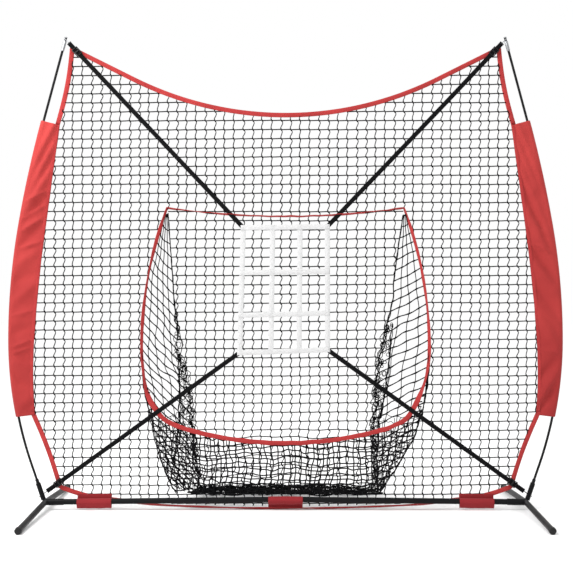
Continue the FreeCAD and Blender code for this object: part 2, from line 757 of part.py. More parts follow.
def gather():
    # spare net heaped along the pocket's hem, lumpy, lying on the ground
    last = GATHER_LUMPS - 1
    sections = []
    for i in range(GATHER_LUMPS):
        x = -GATHER_HALF + 2 * GATHER_HALF * i / last
        size = GATHER_R * (1 - GATHER_SWELL * (i % 2))
        if i in (0, last):
            size *= GATHER_END
        centre = Vector(x, GATHER_Y, GATHER_LOW + size)
        section = ring(GATHER_SIDES, 2 * size, centre, Vector(1, 0, 0))
        sections.append([vertex.Point for vertex in section.OrderedVertexes])
    faces = []
    for near, far in zip(sections, sections[1:]):
        for i in range(GATHER_SIDES):
            corners = [near[i - 1], near[i], far[i], far[i - 1], near[i - 1]]
            faces.append(Part.Face(Part.makePolygon(corners)))
    for corners in (sections[0], sections[-1]):
        faces.append(Part.Face(Part.makePolygon(corners + corners[:1])))
    return Part.Solid(Part.Shell(faces))


def pocket(cut_out):
    front = largest(largest(lower_pocket().cut(mouth())).makeOffset2D(-SEAM))
    holes = mesh_holes(largest(front.makeOffset2D(-MESH_CORD)))
    print("pocket front gaps", len(holes))
    save("pocket_front_net", plate(front.cut(Part.makeCompound(holes)), NET_FRONT, NET_THICK))
    save("pocket_back_net", back_net())
    save_pair("pocket_side_net", side_net())
    save("pocket_floor_net", floor_net())
    save("pocket_gather", gather())


# Target

def target():
    half_x, half_z = TARGET_WIDTH / 2, TARGET_HEIGHT / 2
    strips = []
    for i in range(TARGET_COUNT + 1):
        x = -half_x + i * (TARGET_WIDTH - WEBBING) / TARGET_COUNT
        strips.append(Part.makeBox(WEBBING, WEBBING_THICK, TARGET_HEIGHT,
                                   Vector(x, TARGET_Y, TARGET_Z - half_z)))
        z = TARGET_Z - half_z + i * (TARGET_HEIGHT - WEBBING) / TARGET_COUNT
        strips.append(Part.makeBox(TARGET_WIDTH, WEBBING_THICK, WEBBING,
                                   Vector(-half_x, TARGET_Y - WEBBING_THICK, z)))
    return strips[0].multiFuse(strips[1:]).removeSplitter()


def hook_centre(top):
    # where the hook goes round the neck of the pole's tip, or round its socket
    if top:
        return pole_at(tip_start() + TIP_FERRULE_LENGTH + TIP_NECK / 2)
    return pole_at(LOWER_HOOK_AT)


def strap_line(top):
    # the target's corner, the strap's direction outwards, and the length to the
    # hook's centre, to the hook's eye and across the hook's bight
    x0 = TARGET_WIDTH / 2 - WEBBING / 2
    z0 = TARGET_Z + (TARGET_HEIGHT / 2 - WEBBING / 2) * (1 if top else -1)
    x1, z1, lean = hook_centre(top)
    length = hypot(x1 - x0, z1 - z0)
    along = Vector((x1 - x0) / length, 0, (z1 - z0) / length)
    tilt = atan2(along.z, along.x) + radians(lean)
    held = TIP_NECK_D if top else SOCKET_D
    bight = held / 2 / cos(tilt) + HOOK_CLEARANCE + HOOK_WIRE_D / 2
    return Vector(x0, STRAP_Y, z0), along, length, length - bight - HOOK_LEG, bight


def to_strap(shape, top, distance):
    # from a piece drawn along +X at the origin, its face towards -Y
    start, along = strap_line(top)[:2]
    moved = shape.copy()
    turn = Rotation(Vector(0, 1, 0), -degrees(atan2(along.z, along.x)))
    moved.Placement = Placement(start + along * distance, turn)
    return moved


def strap(top):
    # flat webbing with a sewn eye round the hook's crossbar
    eye = strap_line(top)[3]
    hole_d = HOOK_WIRE_D + 2 * SEAM
    centre = Vector(eye, 0, -STRAP / 2)
    flat = Part.makeBox(eye + STRAP_LAP / 2 - hole_d / 2, WEBBING_THICK, STRAP,
                        Vector(-STRAP_LAP / 2, -WEBBING_THICK / 2, -STRAP / 2))
    up = Vector(0, 0, 1)
    roll = Part.Face(ring(WIRE_SIDES, hole_d + 2 * WEBBING_THICK, centre, up)).extrude(up * STRAP)
    hole = Part.Face(ring(WIRE_SIDES, hole_d, centre, up)).extrude(up * STRAP)
    slit_width = HOOK_WIRE_D / cos(pi / WIRE_SIDES) + 2 * SEAM
    slit = Part.makeBox(STRAP, STRAP, slit_width, Vector(eye, -STRAP / 2, -slit_width / 2))
    return to_strap(flat.fuse(roll).cut(hole).cut(slit).removeSplitter(), top, 0)


def hook(top):
    # bent wire: a crossbar in the strap's eye, a leg, and a bight round the pole
    centre_x, eye, bight = strap_line(top)[2:]
    run, rise = centre_x - eye, NET_Y - STRAP_Y
    slope = atan2(rise, run) - asin(bight / hypot(run, rise))
    start = Vector(eye, 0, 0)
    centre = Vector(centre_x, rise, 0)
    # corners of the bight stand out a little, so that its runs touch the circle
    step = (pi - slope) / BIGHT_RUNS
    reach = bight / cos(step / 2)
    points = [start]
    for i in range(BIGHT_RUNS):
        turn = slope - pi / 2 + step * (i + 0.5)
        points.append(centre + Vector(cos(turn), sin(turn), 0) * reach)
    points.append(centre + Vector(-bight, bight, 0))
    wire = swept(points, HOOK_WIRE_D, WIRE_SIDES)
    ends = [Vector(eye, 0, -STRAP / 2), Vector(eye, 0, STRAP / 2)]
    return to_strap(wire.fuse(swept(ends, HOOK_WIRE_D, WIRE_SIDES)), top, 0)


def buckle(top):
    # webbing adjuster: two bars behind the strap, one in front, rails joining them
    width = STRAP + 2 * (BUCKLE_RAIL + BUCKLE_CLEARANCE)
    front = -WEBBING_THICK / 2 - BUCKLE_CLEARANCE - BUCKLE_PLATE
    depth = WEBBING_THICK + 2 * (BUCKLE_CLEARANCE + BUCKLE_PLATE)
    block = Part.makeBox(BUCKLE_LENGTH, depth, width, Vector(-BUCKLE_LENGTH / 2, front, -width / 2))
    channel = Part.makeBox(2 * BUCKLE_LENGTH, WEBBING_THICK + 2 * BUCKLE_CLEARANCE,
                           STRAP + 2 * BUCKLE_CLEARANCE,
                           Vector(-BUCKLE_LENGTH, front + BUCKLE_PLATE, -STRAP / 2 - BUCKLE_CLEARANCE))
    rear_window = Part.makeBox(BUCKLE_LENGTH - 2 * BUCKLE_BAR, depth, STRAP + 2 * BUCKLE_CLEARANCE,
                               Vector(-BUCKLE_LENGTH / 2 + BUCKLE_BAR, 0, -STRAP / 2 - BUCKLE_CLEARANCE))
    front_window = Part.makeBox(BUCKLE_LENGTH / 2 - BUCKLE_BAR, depth, STRAP + 2 * BUCKLE_CLEARANCE,
                                Vector(BUCKLE_BAR / 2, -depth, -STRAP / 2 - BUCKLE_CLEARANCE))
    other = front_window.mirror(Vector(0, 0, 0), Vector(1, 0, 0))
    shape = block.cut(channel).cut(rear_window).cut(front_window).cut(other)
    distance = TOP_BUCKLE_FROM_END if top else BOTTOM_BUCKLE_FROM_END
    return to_strap(shape, top, strap_line(top)[3] - distance)


def targets():
    save("target_webbing", target())
    for top, word in ((True, "upper"), (False, "lower")):
        save_pair(word + "_strap", strap(top))
        save_pair(word + "_hook", hook(top))
        save_pair(word + "_buckle", buckle(top))
        along, eye = strap_line(top)[1], strap_line(top)[3]
        print(word, "strap direction", round(along.x, 4), round(along.z, 4), "length", round(eye, 1))


# Cloth loops on the bar

def tape_height(x):
    # lowest point of the net's edge tape at x
    return outline().common(line(point(x, -HUB_Z), point(x, 4 * HUB_Z))).BoundBox.ZMin


def drop_outline(top_z, top_r, low_z, half):
    # face round the bar, eight-sided above and narrowing to a flat end below
    reach = top_r / cos(pi / LOOP_SIDES)
    corners = [Vector(0, half, low_z)]
    for i in range(LOOP_SIDES * 3 // 4):
        turn = 2 * pi * (i - 0.5) / LOOP_SIDES
        corners.append(Vector(0, reach * cos(turn), top_z + reach * sin(turn)))
    corners.append(Vector(0, -half, low_z))
    return Part.Face(Part.makePolygon(corners + corners[:1]))


def tab(x, drop, upwards):
    # a loop of cloth hung on the bar, its tail sewn to the front of the edge tape
    rear = TAPE_FRONT - 2 * SEAM - CLOTH
    axis_z = TUBE_D / 2 + SEAM - rear
    void = drop_outline(axis_z, rear, CLOTH - drop, TAB_END)
    loop = drop_outline(axis_z, rear + CLOTH, -drop, TAB_END + CLOTH).cut(void)
    low = tape_height(x) - bar_point(x).z
    tail_z = low + TAPE + TAB_OVER_TAPE if upwards else low
    corners = [Vector(0, rear, axis_z), Vector(0, rear, tail_z),
               Vector(0, rear + CLOTH, tail_z), Vector(0, rear + CLOTH, axis_z)]
    tail = Part.Face(Part.makePolygon(corners + corners[:1]))
    cloth = largest(loop.fuse(tail).removeSplitter()).extrude(Vector(TAB_LENGTH, 0, 0))
    cloth = cloth.translated(Vector(-TAB_LENGTH / 2, 0, 0))
    sloped = Placement(bar_point(x), Rotation(Vector(0, 1, 0), bar_slope(x)))
    cloth.Placement = sloped.multiply(cloth.Placement)
    return cloth


def tabs():
    save_pair("bar_tab", tab(TAB_X, TAB_DROP, True))
    save("middle_bar_tab", tab(0.0, MIDDLE_TAB_DROP, False))


def build():
    os.makedirs("parts", exist_ok=True)
    base()
    poles()
    net()
    targets()
    tabs()


build()
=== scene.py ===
import math
import random
import bpy
from mathutils import Matrix, Vector, noise


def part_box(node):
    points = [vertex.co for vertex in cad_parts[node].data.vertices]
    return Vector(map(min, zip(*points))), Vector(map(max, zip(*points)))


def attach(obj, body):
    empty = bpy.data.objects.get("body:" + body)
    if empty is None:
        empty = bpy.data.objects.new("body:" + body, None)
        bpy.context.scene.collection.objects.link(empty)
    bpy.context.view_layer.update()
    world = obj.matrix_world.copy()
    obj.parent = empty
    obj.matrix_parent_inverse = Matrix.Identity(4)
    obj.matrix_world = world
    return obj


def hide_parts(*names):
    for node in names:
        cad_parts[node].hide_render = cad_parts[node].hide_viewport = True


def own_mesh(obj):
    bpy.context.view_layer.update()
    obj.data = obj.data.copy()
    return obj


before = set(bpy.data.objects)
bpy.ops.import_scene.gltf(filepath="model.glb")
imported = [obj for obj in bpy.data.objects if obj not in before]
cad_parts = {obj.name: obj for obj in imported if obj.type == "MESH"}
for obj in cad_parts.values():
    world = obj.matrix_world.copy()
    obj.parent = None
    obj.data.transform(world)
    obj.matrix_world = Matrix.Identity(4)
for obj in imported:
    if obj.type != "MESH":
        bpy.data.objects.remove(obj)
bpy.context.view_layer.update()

noise.seed_set(5)  # noise_vector would start from the clock

# A pitching target net: steel base, two bowed poles, knotted net with a pocket, webbing target.
# Metres, in the CAD's own frame: +X is the pitcher's right, the pitcher stands at -Y, +Z is up.
# The nets' shapes follow the values of the CAD source, repeated here in metres.

frameBody = "net_and_frame"
eye = Vector((0.0039, -5.245, 0.8455))  # the photograph's point of view
pitchUp = math.radians(0.235)


# Small helpers

def srgb(code):
    # hex colour as a paint chart gives it, turned to the linear values that sockets take
    parts = [int(code[i:i + 2], 16) / 255 for i in (1, 3, 5)]
    return [c / 12.92 if c < 0.04045 else ((c + 0.055) / 1.055) ** 2.4 for c in parts] + [1.0]


def between(low, high, share):
    return low + (high - low) * share


def shares(count):
    # even steps from 0 to 1
    return [i / count for i in range(count + 1)]


def smoothStep(low, high, value):
    share = min(max((value - low) / (high - low), 0.0), 1.0)
    return share * share * (3 - 2 * share)


def noiseAt(x, y, z):
    return noise.noise(Vector((x, y, z)))


def driftAt(x, y, z):
    return noise.noise_vector(Vector((x, y, z)))


def addNode(tree, kind, inputs=None, **settings):
    # one node with its settings; an input is a value or another node's output
    node = tree.nodes.new(kind)
    for key, value in settings.items():
        setattr(node, key, value)
    for key, value in (inputs or {}).items():
        if isinstance(value, bpy.types.NodeSocket):
            tree.links.new(value, node.inputs[key])
        else:
            node.inputs[key].default_value = value
    return node


def mathNode(tree, operation, *values):
    return addNode(tree, "ShaderNodeMath", dict(enumerate(values)), operation=operation).outputs[0]


def sineWave(tree, value, pitch):
    return mathNode(tree, "SINE", mathNode(tree, "MULTIPLY", value, 2 * math.pi / pitch))


def ranged(tree, value, low, high, start=0.3, end=0.7):
    return addNode(tree, "ShaderNodeMapRange", {"Value": value, "From Min": start, "From Max": end,
                   "To Min": low, "To Max": high}).outputs["Result"]


def coordinates(tree, kind):
    return addNode(tree, "ShaderNodeTexCoord").outputs[kind]


def split(tree, vector):
    return addNode(tree, "ShaderNodeSeparateXYZ", {"Vector": vector}).outputs


def cloudy(tree, place, scale, detail):
    return addNode(tree, "ShaderNodeTexNoise", {"Vector": place, "Scale": scale,
                   "Detail": detail}).outputs["Fac"]


def newMaterial(name, sockets):
    # a Principled material, which is no metal unless its sockets say so
    material = bpy.data.materials.new(name)
    material.use_nodes = True
    shader = material.node_tree.nodes["Principled BSDF"]
    for key, value in {"Metallic": 0.0, **sockets}.items():
        shader.inputs[key].default_value = value
    return material, material.node_tree


def finished(material, spec, shade, height, strength, distance, rough=None):
    # colour from dark to light by a share, bump from a height, and roughness where it varies
    tree = material.node_tree
    shader = tree.nodes["Principled BSDF"]
    colour = addNode(tree, "ShaderNodeMix", {0: shade, 6: srgb(spec["dark"]), 7: srgb(spec["light"])},
                     data_type="RGBA")
    bump = addNode(tree, "ShaderNodeBump", {"Height": height, "Strength": strength, "Distance": distance})
    tree.links.new(colour.outputs[2], shader.inputs["Base Color"])
    tree.links.new(bump.outputs["Normal"], shader.inputs["Normal"])
    if rough is not None:
        tree.links.new(rough, shader.inputs["Roughness"])
    return material


# Materials: colours in sRGB, patterns in metres

finishes = {
    "powderCoat": {"dark": "#08080a", "light": "#111113", "peel": 0.0016, "rough": (0.40, 0.52)},
    "capPlastic": {"dark": "#0d0d0e", "light": "#161617", "grain": 0.0011, "rough": 0.55},
    "bucklePlastic": {"dark": "#0b0b0c", "light": "#131314", "grain": 0.0009, "rough": 0.34},
    # painted shade and light on the sleeves: colour darker near the ground and lighter high up, as light from
    # above falls
    "sleeveCloth": {"dark": "#922a2a", "light": "#b83f3c", "thread": 0.0014, "sheen": 0.08,
                    "mottling": 5.0, "paintedHeightShade": 0.34},
    "tabCloth": {"dark": "#7a2024", "light": "#972b30", "thread": 0.0014, "sheen": 0.05,
                 "mottling": 5.0, "paintedHeightShade": 0.0},
    "edgeTape": {"dark": "#8e2a2b", "light": "#b53a39", "thread": 0.0012, "sheen": 0.06,
                 "mottling": 12.0, "paintedHeightShade": 0.0},
    "twine": {"dark": "#060607", "light": "#161618", "lay": 0.0075},
    "rod": {"dark": "#0a0a0b", "light": "#171718", "stretch": (30.0, 9.0, 1.0)},
    "blackWebbing": {"dark": "#050506", "light": "#101012", "rib": 0.0019, "end": 0.0011, "gloss": 0.08},
    "whiteWebbing": {"dark": "#bebebe", "light": "#d4d4d4", "rib": 0.0019, "end": 0.0011, "gloss": 0.2},
}


def powderCoat():
    # powder-coated steel: black, half gloss, with fine orange peel (drawn twice as coarse)
    spec = finishes["powderCoat"]
    material, tree = newMaterial("powderCoatedSteel", {"IOR": 1.5, "Specular IOR Level": 0.12})
    place = coordinates(tree, "Object")
    wear = cloudy(tree, place, 14.0, 6.0)
    peel = cloudy(tree, place, 1 / spec["peel"], 2.0)
    return finished(material, spec, wear, peel, 0.25, 0.0004, ranged(tree, wear, *spec["rough"]))


def mouldedPlastic(name, key):
    # moulded polymer: fine spark-eroded grain and slight bloom
    spec = finishes[key]
    material, tree = newMaterial(name, {"IOR": 1.5, "Specular IOR Level": 0.3})
    place = coordinates(tree, "Object")
    grain = addNode(tree, "ShaderNodeTexVoronoi", {"Vector": place, "Scale": 1 / spec["grain"]})
    bloom = cloudy(tree, place, 40.0, 4.0)
    rough = ranged(tree, bloom, spec["rough"] - 0.06, spec["rough"] + 0.08)
    return finished(material, spec, bloom, grain.outputs["Distance"], 0.15, 0.0003, rough)


def metal(name, dark, light, rough, stretch):
    # drawn or turned metal: fine lines along the piece or round it
    material, tree = newMaterial(name, {"Metallic": 1.0})
    lines = addNode(tree, "ShaderNodeMapping", {"Vector": coordinates(tree, "Object"), "Scale": stretch})
    fine = cloudy(tree, lines.outputs["Vector"], 700.0, 3.0)
    return finished(material, {"dark": dark, "light": light}, fine, fine, 0.12, 0.0002,
                    ranged(tree, fine, rough - 0.08, rough + 0.08))


def wovenCloth(name, key):
    # woven polyester: plain weave (drawn about three threads to one), soft sheen, dye mottling,
    # and painted shade and light by height: darker towards the ground, a little lighter high up
    spec = finishes[key]
    material, tree = newMaterial(name, {"IOR": 1.45, "Roughness": 0.72, "Specular IOR Level": 0.15,
                                        "Sheen Weight": spec["sheen"], "Sheen Roughness": 0.45})
    uv = split(tree, coordinates(tree, "UV"))
    place = coordinates(tree, "Object")
    weave = mathNode(tree, "MULTIPLY", *[sineWave(tree, uv[axis], spec["thread"]) for axis in ("X", "Y")])
    shade = mathNode(tree, "MULTIPLY_ADD", weave, 0.16, cloudy(tree, place, spec["mottling"], 5.0))
    # painted shade and light: the colour darkens below 0.4 m and lightens a little towards 1.4 m, as light
    # from above falls
    paintedHeightShading = ranged(tree, split(tree, place)["Z"], -spec["paintedHeightShade"], spec["paintedHeightShade"] * 0.5, 0.4, 1.4)
    return finished(material, spec, mathNode(tree, "ADD", shade, paintedHeightShading), weave, 0.35, 0.0004)


def ribbedWebbing(name, key):
    # flat polyester webbing: ribs across it, and finer warp ends along it
    spec = finishes[key]
    material, tree = newMaterial(name, {"IOR": 1.45, "Roughness": 0.7, "Specular IOR Level": spec["gloss"],
                                        "Sheen Weight": 0.03})
    place = coordinates(tree, "UV")
    uv = split(tree, place)
    ribs, ends = sineWave(tree, uv["Y"], spec["rib"]), sineWave(tree, uv["X"], spec["end"])
    weave = mathNode(tree, "MULTIPLY_ADD", ends, 0.35, ribs)
    shade = mathNode(tree, "MULTIPLY_ADD", weave, 0.2, cloudy(tree, place, 60.0, 3.0))
    return finished(material, spec, shade, weave, 0.4, 0.0004)


def knottedTwine():
    # laid polyethylene twine: two plies turning round each other, matt black
    spec = finishes["twine"]
    material, tree = newMaterial("polyethyleneTwine", {"IOR": 1.5, "Roughness": 0.75,
                                                       "Specular IOR Level": 0.05})
    uv = split(tree, coordinates(tree, "UV"))
    along = mathNode(tree, "MULTIPLY", uv["Y"], 1 / spec["lay"])
    ply = sineWave(tree, mathNode(tree, "MULTIPLY_ADD", uv["X"], 2.0, along), 1.0)
    return finished(material, spec, ranged(tree, ply, 0.0, 1.0, -1.0, 1.0), ply, 0.5, 0.0004)


def pultrudedRod():
    # glass-fibre rod in black resin: long faint fibres under a smooth skin
    spec = finishes["rod"]
    material, tree = newMaterial("pultrudedFibreglass", {"IOR": 1.52, "Roughness": 0.48,
                                                         "Specular IOR Level": 0.12})
    lines = addNode(tree, "ShaderNodeMapping", {"Vector": coordinates(tree, "UV"),
                                                "Scale": spec["stretch"]})
    fibres = cloudy(tree, lines.outputs["Vector"], 6.0, 5.0)
    return finished(material, spec, fibres, fibres, 0.12, 0.0002)


paints = {
    "painted_steel": powderCoat(),
    "cap_plastic": mouldedPlastic("polyethyleneCap", "capPlastic"),
    "buckle_plastic": mouldedPlastic("acetalBuckle", "bucklePlastic"),
    "spring_steel": metal("bluedSpringSteel", "#6c6f76", "#9a9ea6", 0.34, (1.0, 6.0, 6.0)),
    "zinc_steel": metal("zincPlatedSteel", "#a4a6aa", "#c9cbcf", 0.32, (4.0, 4.0, 4.0)),
    "wire_steel": metal("zincPlatedWire", "#8f9194", "#b9babd", 0.26, (1.0, 6.0, 1.0)),
    "ferrule_aluminium": metal("turnedAluminium", "#8f9194", "#b6b8ba", 0.30, (0.6, 0.6, 9.0)),
    "ferrule_steel": metal("blackenedSteel", "#1a1a1b", "#2c2c2e", 0.42, (0.6, 0.6, 9.0)),
    "fibreglass": pultrudedRod(),
    "sleeve_cloth": wovenCloth("wovenSleevePolyester", "sleeveCloth"),
    "tab_cloth": wovenCloth("wovenTabPolyester", "tabCloth"),
    "edge_tape": wovenCloth("wovenBindingTape", "edgeTape"),
    "net_cord": knottedTwine(),
    "strap_webbing": ribbedWebbing("blackPolyesterWebbing", "blackWebbing"),
    "target_webbing": ribbedWebbing("whitePolyesterWebbing", "whiteWebbing"),
}
print("materials ready:", len(paints))


# Lines and skins

def arcThrough(a, b, c, count):
    # points on the circle through three (x, z) points, from a by way of b to c
    (ax, az), (bx, bz), (cx, cz) = a, b, c
    scale = 2 * (ax * (bz - cz) + bx * (cz - az) + cx * (az - bz))
    squares = [ax * ax + az * az, bx * bx + bz * bz, cx * cx + cz * cz]
    ux = (squares[0] * (bz - cz) + squares[1] * (cz - az) + squares[2] * (az - bz)) / scale
    uz = (squares[0] * (cx - bx) + squares[1] * (ax - cx) + squares[2] * (bx - ax)) / scale
    radius = math.hypot(ax - ux, az - uz)
    start = math.atan2(az - uz, ax - ux)
    sweepAngle = math.remainder(math.atan2(cz - uz, cx - ux) - start, 2 * math.pi)
    through = math.remainder(math.atan2(bz - uz, bx - ux) - start, 2 * math.pi)
    if through * sweepAngle < 0:
        sweepAngle -= math.copysign(2 * math.pi, sweepAngle)
    angles = [start + sweepAngle * i / count for i in range(count + 1)]
    return [(ux + radius * math.cos(t), uz + radius * math.sin(t)) for t in angles]


def evenly(points, step):
    # the same line, with points one step apart
    points = [Vector(p) for p in points]
    marks = [0.0]
    for a, b in zip(points, points[1:]):
        marks.append(marks[-1] + (b - a).length)
    count = max(2, round(marks[-1] / step))
    result, i = [], 0
    for k in range(count + 1):
        at = marks[-1] * k / count
        while i < len(points) - 2 and marks[i + 1] < at:
            i += 1
        share = (at - marks[i]) / max(marks[i + 1] - marks[i], 1e-9)
        result.append(points[i].lerp(points[i + 1], min(share, 1.0)))
    return result


def throughPoints(points, pieces=8):
    # smooth line through given points
    points = [Vector(p) for p in points]
    ends = [2 * points[0] - points[1]] + points + [2 * points[-1] - points[-2]]
    result = []
    for a, b, c, d in zip(ends, ends[1:], ends[2:], ends[3:]):
        for i in range(pieces):
            t = i / pieces
            result.append(0.5 * (2 * b + (c - a) * t + (2 * a - 5 * b + 4 * c - d) * t * t
                                 + (3 * b - a - 3 * c + d) * t ** 3))
    return result + [points[-1]]


def newSkin():
    return {"points": [], "faces": [], "uvs": []}


def sweep(skin, points, profile, across=None, scales=None, closed=False, turns=False):
    # carries a closed profile along a line; UV runs round it and along it in metres,
    # or round it in whole turns, as twisted cord needs
    points = [Vector(p) for p in points]
    count, sides = len(points), len(profile)
    around = [0.0]
    for a, b in zip(profile, profile[1:] + profile[:1]):
        around.append(around[-1] + math.hypot(b[0] - a[0], b[1] - a[1]))
    if turns:
        around = [u / around[-1] for u in around]
    base, along, side = len(skin["points"]), [0.0], None
    for i, p in enumerate(points):
        before = points[i - 1] if i or closed else p
        after = points[(i + 1) % count] if i < count - 1 or closed else p
        tangent = (after - before).normalized()
        if across:
            side = across[i]
        elif side is None:
            side = tangent.orthogonal()
        side = (side - tangent * side.dot(tangent)).normalized()
        up = tangent.cross(side)
        size = scales[i] if scales else 1.0
        skin["points"] += [p + (side * u + up * v) * size for u, v in profile]
        if i < count - 1 or closed:
            along.append(along[-1] + (after - p).length)
    for i in range(count if closed else count - 1):
        low, high = base + i * sides, base + (i + 1) % count * sides
        for k in range(sides):
            m = (k + 1) % sides
            skin["faces"].append((low + k, low + m, high + m, high + k))
            skin["uvs"] += [(around[k], along[i]), (around[k + 1], along[i]),
                            (around[k + 1], along[i + 1]), (around[k], along[i + 1])]
    if not closed:
        first = list(range(base, base + sides))
        last = list(range(base + (count - 1) * sides, base + count * sides))
        for ring in (first[::-1], last):
            skin["faces"].append(tuple(ring))
            skin["uvs"] += [profile[i % sides] for i in range(sides)]


def turnsRound(count):
    return [2 * math.pi * i / count for i in range(count)]


def roundProfile(radius, sides):
    return [(radius * math.cos(turn), radius * math.sin(turn)) for turn in turnsRound(sides)]


def bandProfile(width, thick):
    # webbing or tape: flat, with soft edges
    w, t, e = width / 2, thick / 2, min(thick * 0.45, width * 0.2)
    return [(-w + e, -t), (w - e, -t), (w, -t + e / 1.6), (w, t - e / 1.6),
            (w - e, t), (-w + e, t), (-w, t - e / 1.6), (-w, -t + e / 1.6)]


def addCord(skin, points, radius, scales=None, sides=6, closed=False):
    if len(points) > 1:
        sweep(skin, points, roundProfile(radius, sides), scales=scales, closed=closed, turns=True)


def addBand(skin, points, across, width, thick, scales=None, closed=False):
    sweep(skin, points, bandProfile(width, thick), across=across, scales=scales, closed=closed)


def addStitches(skin, points, pitch=0.004, radius=0.00032):
    # a seam's thread: short raised lengths along a line
    marks = evenly(points, pitch / 2)
    for a, b in zip(marks[0::2], marks[1::2]):
        middle = (a + b) / 2
        sweep(skin, [a, middle, b], roundProfile(radius, 4), scales=[0.5, 1.0, 0.5], turns=True)


def newObject(name, data):
    item = bpy.data.objects.new(name, data)
    bpy.context.scene.collection.objects.link(item)
    return item


def selectOnly(*items):
    bpy.ops.object.select_all(action="DESELECT")
    for item in items:
        item.select_set(True)
    bpy.context.view_layer.objects.active = items[0]


def dress(piece, slot, replaces=(), body=frameBody, paint=None):
    # finish from the slot's paint or the one given, body, and the CAD nodes that it stands for, which are
    # hidden
    piece.data.materials.clear()
    piece.data.materials.append(paint or paints[slot])
    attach(piece, body)
    if replaces:
        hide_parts(*replaces)
    return piece


def asPiece(name, skin, slot, replaces=(), paint=None):
    mesh = bpy.data.meshes.new(name)
    mesh.from_pydata(skin["points"], [], skin["faces"])
    layer = mesh.uv_layers.new(name="UVMap")
    layer.data.foreach_set("uv", [c for uv in skin["uvs"] for c in uv])
    mesh.polygons.foreach_set("use_smooth", [True] * len(mesh.polygons))
    mesh.update()
    return dress(newObject(name, mesh), slot, replaces, paint=paint)


def applyModifiers(piece):
    selectOnly(piece)
    for modifier in list(piece.modifiers):
        bpy.ops.object.modifier_apply(modifier=modifier.name)


def clothPiece(name, slot, node, points, wide, placeOnCloth, flip, thick, offset):
    # a grid of points, so many wide, given its thickness; a rule gives the UV of (row, column)
    skin = {"points": points, "faces": [], "uvs": []}
    for i in range(len(points) // wide - 1):
        for k in range(wide - 1):
            corners = [(i, k), (i + 1, k), (i + 1, k + 1), (i, k + 1)]
            if flip:
                corners = corners[:1] + corners[:0:-1]
            skin["faces"].append(tuple(row * wide + column for row, column in corners))
            skin["uvs"] += [placeOnCloth(row, column) for row, column in corners]
    piece = asPiece(name, skin, slot, [node])
    wall = piece.modifiers.new("wall", "SOLIDIFY")
    wall.thickness, wall.offset = thick, offset
    applyModifiers(piece)
    return piece


def softenedCopy(node, name, merge, flat, width):
    # the source's mesh with its facets merged and its sharp edges rounded
    piece = newObject(name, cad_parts[node].data.copy())
    selectOnly(piece)
    bpy.ops.object.mode_set(mode="EDIT")
    bpy.ops.mesh.select_all(action="SELECT")
    bpy.ops.mesh.remove_doubles(threshold=merge)
    bpy.ops.mesh.dissolve_limited(angle_limit=flat)
    bpy.ops.object.mode_set(mode="OBJECT")
    rounding = piece.modifiers.new("rounding", "BEVEL")
    rounding.width, rounding.segments, rounding.limit_method = width, 2, "ANGLE"
    applyModifiers(piece)
    return piece


hands = (("right", 1), ("left", -1))


# The pole's line, as in the source

pole = {"foot": (0.939, 0.031), "footStraight": 0.153, "leans": (19.0, 0.0, -9.7, -15.0),
        "bows": (1.488, 2.610, 4.650), "tipStraight": 0.331, "rod": 0.0095, "start": 0.020,
        "split": 0.925, "ferruleHalf": 0.045, "tipTube": 0.040, "tipNeck": 0.012, "tipHead": 0.004}
netY = 0.018


def poleStretches():
    leans = [math.radians(a) for a in pole["leans"]]
    bows = [(r * (a - b), a, b) for r, a, b in zip(pole["bows"], leans, leans[1:])]
    return ([(pole["footStraight"], leans[0], leans[0])] + bows
            + [(pole["tipStraight"], leans[-1], leans[-1])])


def poleLength():
    return sum(stretch[0] for stretch in poleStretches())


def polePoint(s, inwards=0.0):
    # (x, z) of the right-hand pole's axis at s along it, or beside it
    x, z = pole["foot"]
    stretches = poleStretches()
    for length, start, end in stretches:
        part = min(s, length) if (length, start, end) != stretches[-1] else s
        lean = start + (end - start) * part / length
        if start == end:
            x, z = x + part * math.sin(start), z + part * math.cos(start)
        else:
            radius = length / (start - end)
            x += radius * (math.cos(lean) - math.cos(start))
            z += radius * (math.sin(start) - math.sin(lean))
        s -= part
        if s <= 0:
            break
    return x - inwards * math.cos(lean), z + inwards * math.sin(lean)


def poleVector(s, side, inwards=0.0, y=netY):
    x, z = polePoint(s, inwards)
    return Vector((side * x, y, z))


# Stage: pale floor, white surroundings that dim towards the pitcher, a soft key from the upper left

studio = {"front": 0.74, "behind": 1.0, "above": 1.16, "aim": (0, 0, 0.8), "floorZ": -0.0006,
          "lamps": (("keyLight", (-2.0, -1.5, 3.0), 2.4, 116), ("fillLight", (3.2, -3.6, 2.0), 2.6, 8)),
          "sensor": 36.0, "lens": 84.88}


def buildSurroundings():
    world = bpy.data.worlds.new("studio")
    world.use_nodes = True
    tree = world.node_tree
    background = tree.nodes["Background"]
    background.inputs["Color"].default_value = (1, 1, 1, 1)
    way = split(tree, coordinates(tree, "Generated"))
    level = ranged(tree, way["Y"], studio["front"], studio["behind"], -0.5, 0.15)
    high = ranged(tree, way["Z"], studio["front"], studio["above"], 0.25, 0.8)
    tree.links.new(mathNode(tree, "MAXIMUM", level, high), background.inputs["Strength"])
    bpy.context.scene.world = world


